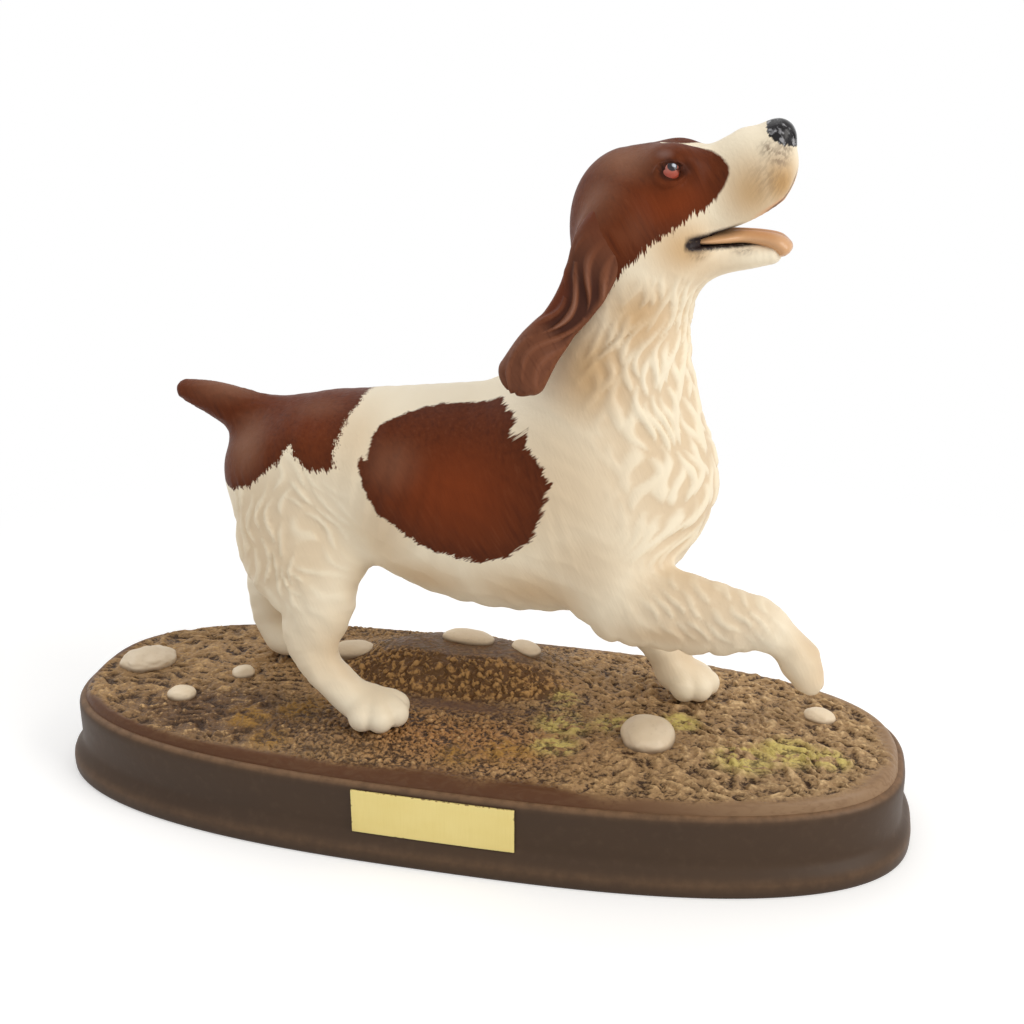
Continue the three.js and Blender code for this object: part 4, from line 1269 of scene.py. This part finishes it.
def make_ears():
    """A long flap drawn out from inside the head, folded in wavy locks, with a round heavy tip."""
    glaze = ear_glaze()
    ground = np.array([0, 0, STAND])
    for side, sign in (("right", 1), ("left", -1)):
        piece, points, way, share, turn = lofted(f"ear_{side}_flap", EAR_STATIONS, *EAR_MESH)
        set_points(piece, points + ground)
        normals = normals_of(piece)
        travel = EAR_LENGTH * share
        across = 7 * np.cos(turn) + 2.4 * np.sin(2 * np.pi * travel / 30 + sign) + 1.2 * wander(points, 9)
        folds = locks(across, travel + 8, 4.4, 26, 8 + sign, 0.2, 1.3)
        bulb = rise(share, 0.7, 0.8)
        flat = 1 - 0.85 * rise(np.abs(np.cos(turn)), 0.7, 1)
        region = rise(share, 0.2, 0.5) * (1 - 0.75 * bulb) * flat
        tip = rise(share, 0.93, 1.02)
        scallop = tip * np.abs(np.sin(np.pi * (across + 1) / 5)) * 0.7
        curl = rise(share, 0.7, 0.95)
        swell = region * (1.5 * folds - 0.5) + 0.35 * bulb
        shaped = points + normals * swell[:, None] + way * scallop[:, None]
        shaped[:, 1] -= 1.6 * curl
        if sign < 0:
            shaped = shaped * (1, -1, 1)
        set_points(piece, shaped + ground)
        if sign < 0:
            turned_out(piece)
        paint_masks(
            piece,
            root=0.9 * (1 - rise(share, 0.12, 0.45)),
            # Painted shade in the grooves of the folds and painted highlight on their crests
            groove=0.9 * region * (1 - rise(folds, 0.05, 0.45)),
            crest=0.5 * region * rise(folds, 0.6, 1),
            rust=0.7 * rise(across, 3, 8) * (1 - curl),
        )
        finished(piece, glaze, "liver_glaze", f"ear_{side}")


make_ears()


TONGUE_STATIONS = [
    (62, 0, 148.8, 1.3, 9.4), (67, 0, 149.2, 1.5, 9.8), (71.5, 0, 149.6, 1.8, 8),
    (76, 0, 149.8, 1.9, 5.4), (81, 0, 149.5, 2.1, 5), (85, 0, 148.5, 2.5, 5.2), (87, 0, 146.9, 2.5, 4.8),
]

TONGUE_MESH = (48, 80)


def make_tongue():
    glaze = Finish("tongue_glaze", 0.38)
    cloud = glaze.grain((7, 7, 7), detail=3)
    fine = glaze.grain((0.8, 0.8, 0.8), detail=4)
    pink = glaze.over(cloud, tint(218, 172, 126), tint(200, 150, 106))
    pink = glaze.over(glaze.between(fine, 0.5, 0.8, 0, 0.2), pink, tint(192, 134, 96))
    # Darker at the root, deep in the mouth, and along the middle furrow: painted shade
    glaze.colour(glaze.over(glaze.mask("deep"), pink, tint(120, 64, 50)))
    glaze.rough(glaze.between(cloud, 0.3, 0.7, 0.32, 0.42))
    glaze.relief(fine, 0.05)
    piece, points, _, share, turn = lofted("tongue_leaf", TONGUE_STATIONS, *TONGUE_MESH)
    middle = np.exp(-(points[:, 1] / 1.1) ** 2) * (np.cos(turn) < 0.2)
    points[:, 2] -= 0.7 * middle * rise(share, 0.1, 0.4) * (1 - rise(share, 0.85, 1))
    set_points(piece, points + (0, 0, STAND))
    # Painted shade at the root and along the middle furrow
    paint_masks(piece, deep=np.maximum(1 - rise(share, -0.04, 0.1), 0.4 * middle))
    finished(piece, glaze, "tongue_glaze", "tongue")


make_tongue()


def make_eyes():
    """Two glass-bright balls, painted with a dark pupil, a catch of light and a red lower rim."""
    glaze = Finish("eye_glaze", 0.15, gloss=0.35)
    fine = glaze.grain((0.7, 0.7, 0.7), detail=3)
    red = glaze.over(fine, tint(158, 62, 46), tint(180, 84, 64))
    red = glaze.over(glaze.between(glaze.mask("low"), -0.2, 0.5, 0, 0.6), red, tint(196, 132, 118))
    dark = glaze.over(glaze.between(glaze.mask("gaze"), 1.2, 1.5, 1, 0), red, tint(40, 36, 42))
    shine = glaze.between(glaze.mask("catch"), 0.35, 0.75, 0.9, 0)
    glaze.colour(glaze.over(shine, dark, tint(206, 214, 226)))
    for side, sign in (("right", -1), ("left", 1)):
        bpy.ops.mesh.primitive_uv_sphere_add(segments=64, ring_count=40, radius=1)
        piece = added(f"eye_{side}")
        ball = points_of(piece) * MM
        gaze = np.array([0.3, sign * 0.86, 0.62])
        catch = np.array([0.46, sign * 0.8, 0.7])
        ahead = np.clip(ball @ (gaze / np.linalg.norm(gaze)), -1, 1)
        bright = np.clip(ball @ (catch / np.linalg.norm(catch)), -1, 1)
        bulge = 1 + 0.04 * rise(ahead, 0.8, 1)
        set_points(piece, ball * EYE_RADIUS * bulge[:, None] + EYE * (1, sign, 1) + (0, 0, STAND))
        from_gaze, from_catch = EYE_RADIUS * np.arccos(ahead), EYE_RADIUS * np.arccos(bright)
        paint_masks(piece, gaze=from_gaze, catch=from_catch, low=ball[:, 2])
        finished(piece, glaze, "dog_glaze")


make_eyes()


# Stage


PAPER = (0.85, 0.85, 0.85, 1)
PAPER_LIFT = 0.3
SHADOW_FROM, SHADOW_TO = 0.16, 0.34  # metres from the middle, where the paper runs out into white
ROOM_TONE = (1, 0.985, 0.96, 1)
ROOM_LIGHT = 0.5
LAMP_AIM = Vector((0.01, 0, 0.1))


def seen_rays(tree):
    """1 for the rays by which the camera sees the background, directly or in a gloss."""
    rays = add_node(tree, "ShaderNodeLightPath").outputs
    total = rays["Is Camera Ray"]
    for kind in ("Is Glossy Ray", "Is Transmission Ray"):
        total = add_node(tree, "ShaderNodeMath", {0: total, 1: rays[kind]}, operation="MAXIMUM").outputs[0]
    return total


def mixed(tree, share, first, second):
    return add_node(tree, "ShaderNodeMixShader", {0: share, 1: first, 2: second}).outputs[0]


def paper():
    """White, with the shadow near the object, and clear white farther off."""
    sheet = bpy.data.materials.new("paper")
    sheet.use_nodes = True
    tree = sheet.node_tree
    tree.nodes.clear()
    white = add_node(tree, "ShaderNodeBsdfDiffuse", {"Color": PAPER}).outputs[0]
    lift = add_node(tree, "ShaderNodeEmission", {"Strength": PAPER_LIFT}).outputs[0]
    clear = add_node(tree, "ShaderNodeEmission", {"Strength": 1}).outputs[0]
    near = add_node(tree, "ShaderNodeAddShader", {0: white, 1: lift}).outputs[0]
    place = add_node(tree, "ShaderNodeTexCoord").outputs["Object"]
    reach = add_node(tree, "ShaderNodeVectorMath", {0: place}, operation="LENGTH").outputs["Value"]
    inputs = {"Value": reach, "From Min": SHADOW_FROM, "From Max": SHADOW_TO}
    far = add_node(tree, "ShaderNodeMapRange", inputs, interpolation_type="SMOOTHSTEP").outputs["Result"]
    surface = mixed(tree, seen_rays(tree), white, mixed(tree, far, near, clear))
    add_node(tree, "ShaderNodeOutputMaterial", {"Surface": surface})
    return sheet


def make_stage():
    """A sheet of white paper that keeps the shadow near the object and runs out into a white room."""
    bpy.ops.mesh.primitive_plane_add(size=8, location=(0, 0, 0))
    floor = added("floor")
    floor.data.materials.append(paper())
    world = bpy.data.worlds.new("studio")
    scene.world = world
    world.use_nodes = True
    tree = world.node_tree
    shade = tree.nodes["Background"]
    shade.inputs["Color"].default_value = ROOM_TONE
    shade.inputs["Strength"].default_value = ROOM_LIGHT
    clear = add_node(tree, "ShaderNodeBackground", {"Color": (1, 1, 1, 1)}).outputs[0]
    surface = mixed(tree, seen_rays(tree), shade.outputs[0], clear)
    tree.links.new(surface, tree.nodes["World Output"].inputs["Surface"])


def lamp(name, place, size, power, colour=(1, 1, 1)):
    bpy.ops.object.light_add(type="AREA", location=place)
    light = bpy.context.object
    light.name = name
    light.data.size = size
    light.data.energy = power
    light.data.color = colour
    aim = LAMP_AIM - Vector(place)
    light.rotation_euler = aim.to_track_quat("-Z", "Y").to_euler()


make_stage()
lamp("key", (0.95, -0.3, 0.7), 0.6, 6.8, (1, 0.97, 0.92))
lamp("fill", (-0.3, -1.0, 0.5), 0.9, 0.9)
lamp("top", (-0.1, 0.35, 1.1), 0.7, 2.2)
lamp("window", (-0.8, 0.15, 0.7), 0.6, 1.8)

# Camera, at the height and turn from which the figurine is seen
CAMERA_AT = Vector((0.1018, -0.3836, 0.2420))
CAMERA_AIM = Vector((0.01186, 0, 0.09314))
CAMERA_LENS = 49.22
bpy.ops.object.camera_add(location=CAMERA_AT)
camera = bpy.context.object
camera.rotation_euler = (CAMERA_AIM - CAMERA_AT).to_track_quat("-Z", "Y").to_euler()
camera.data.lens = CAMERA_LENS
camera.data.sensor_width = 36
camera.data.clip_start = 0.01
scene.camera = camera
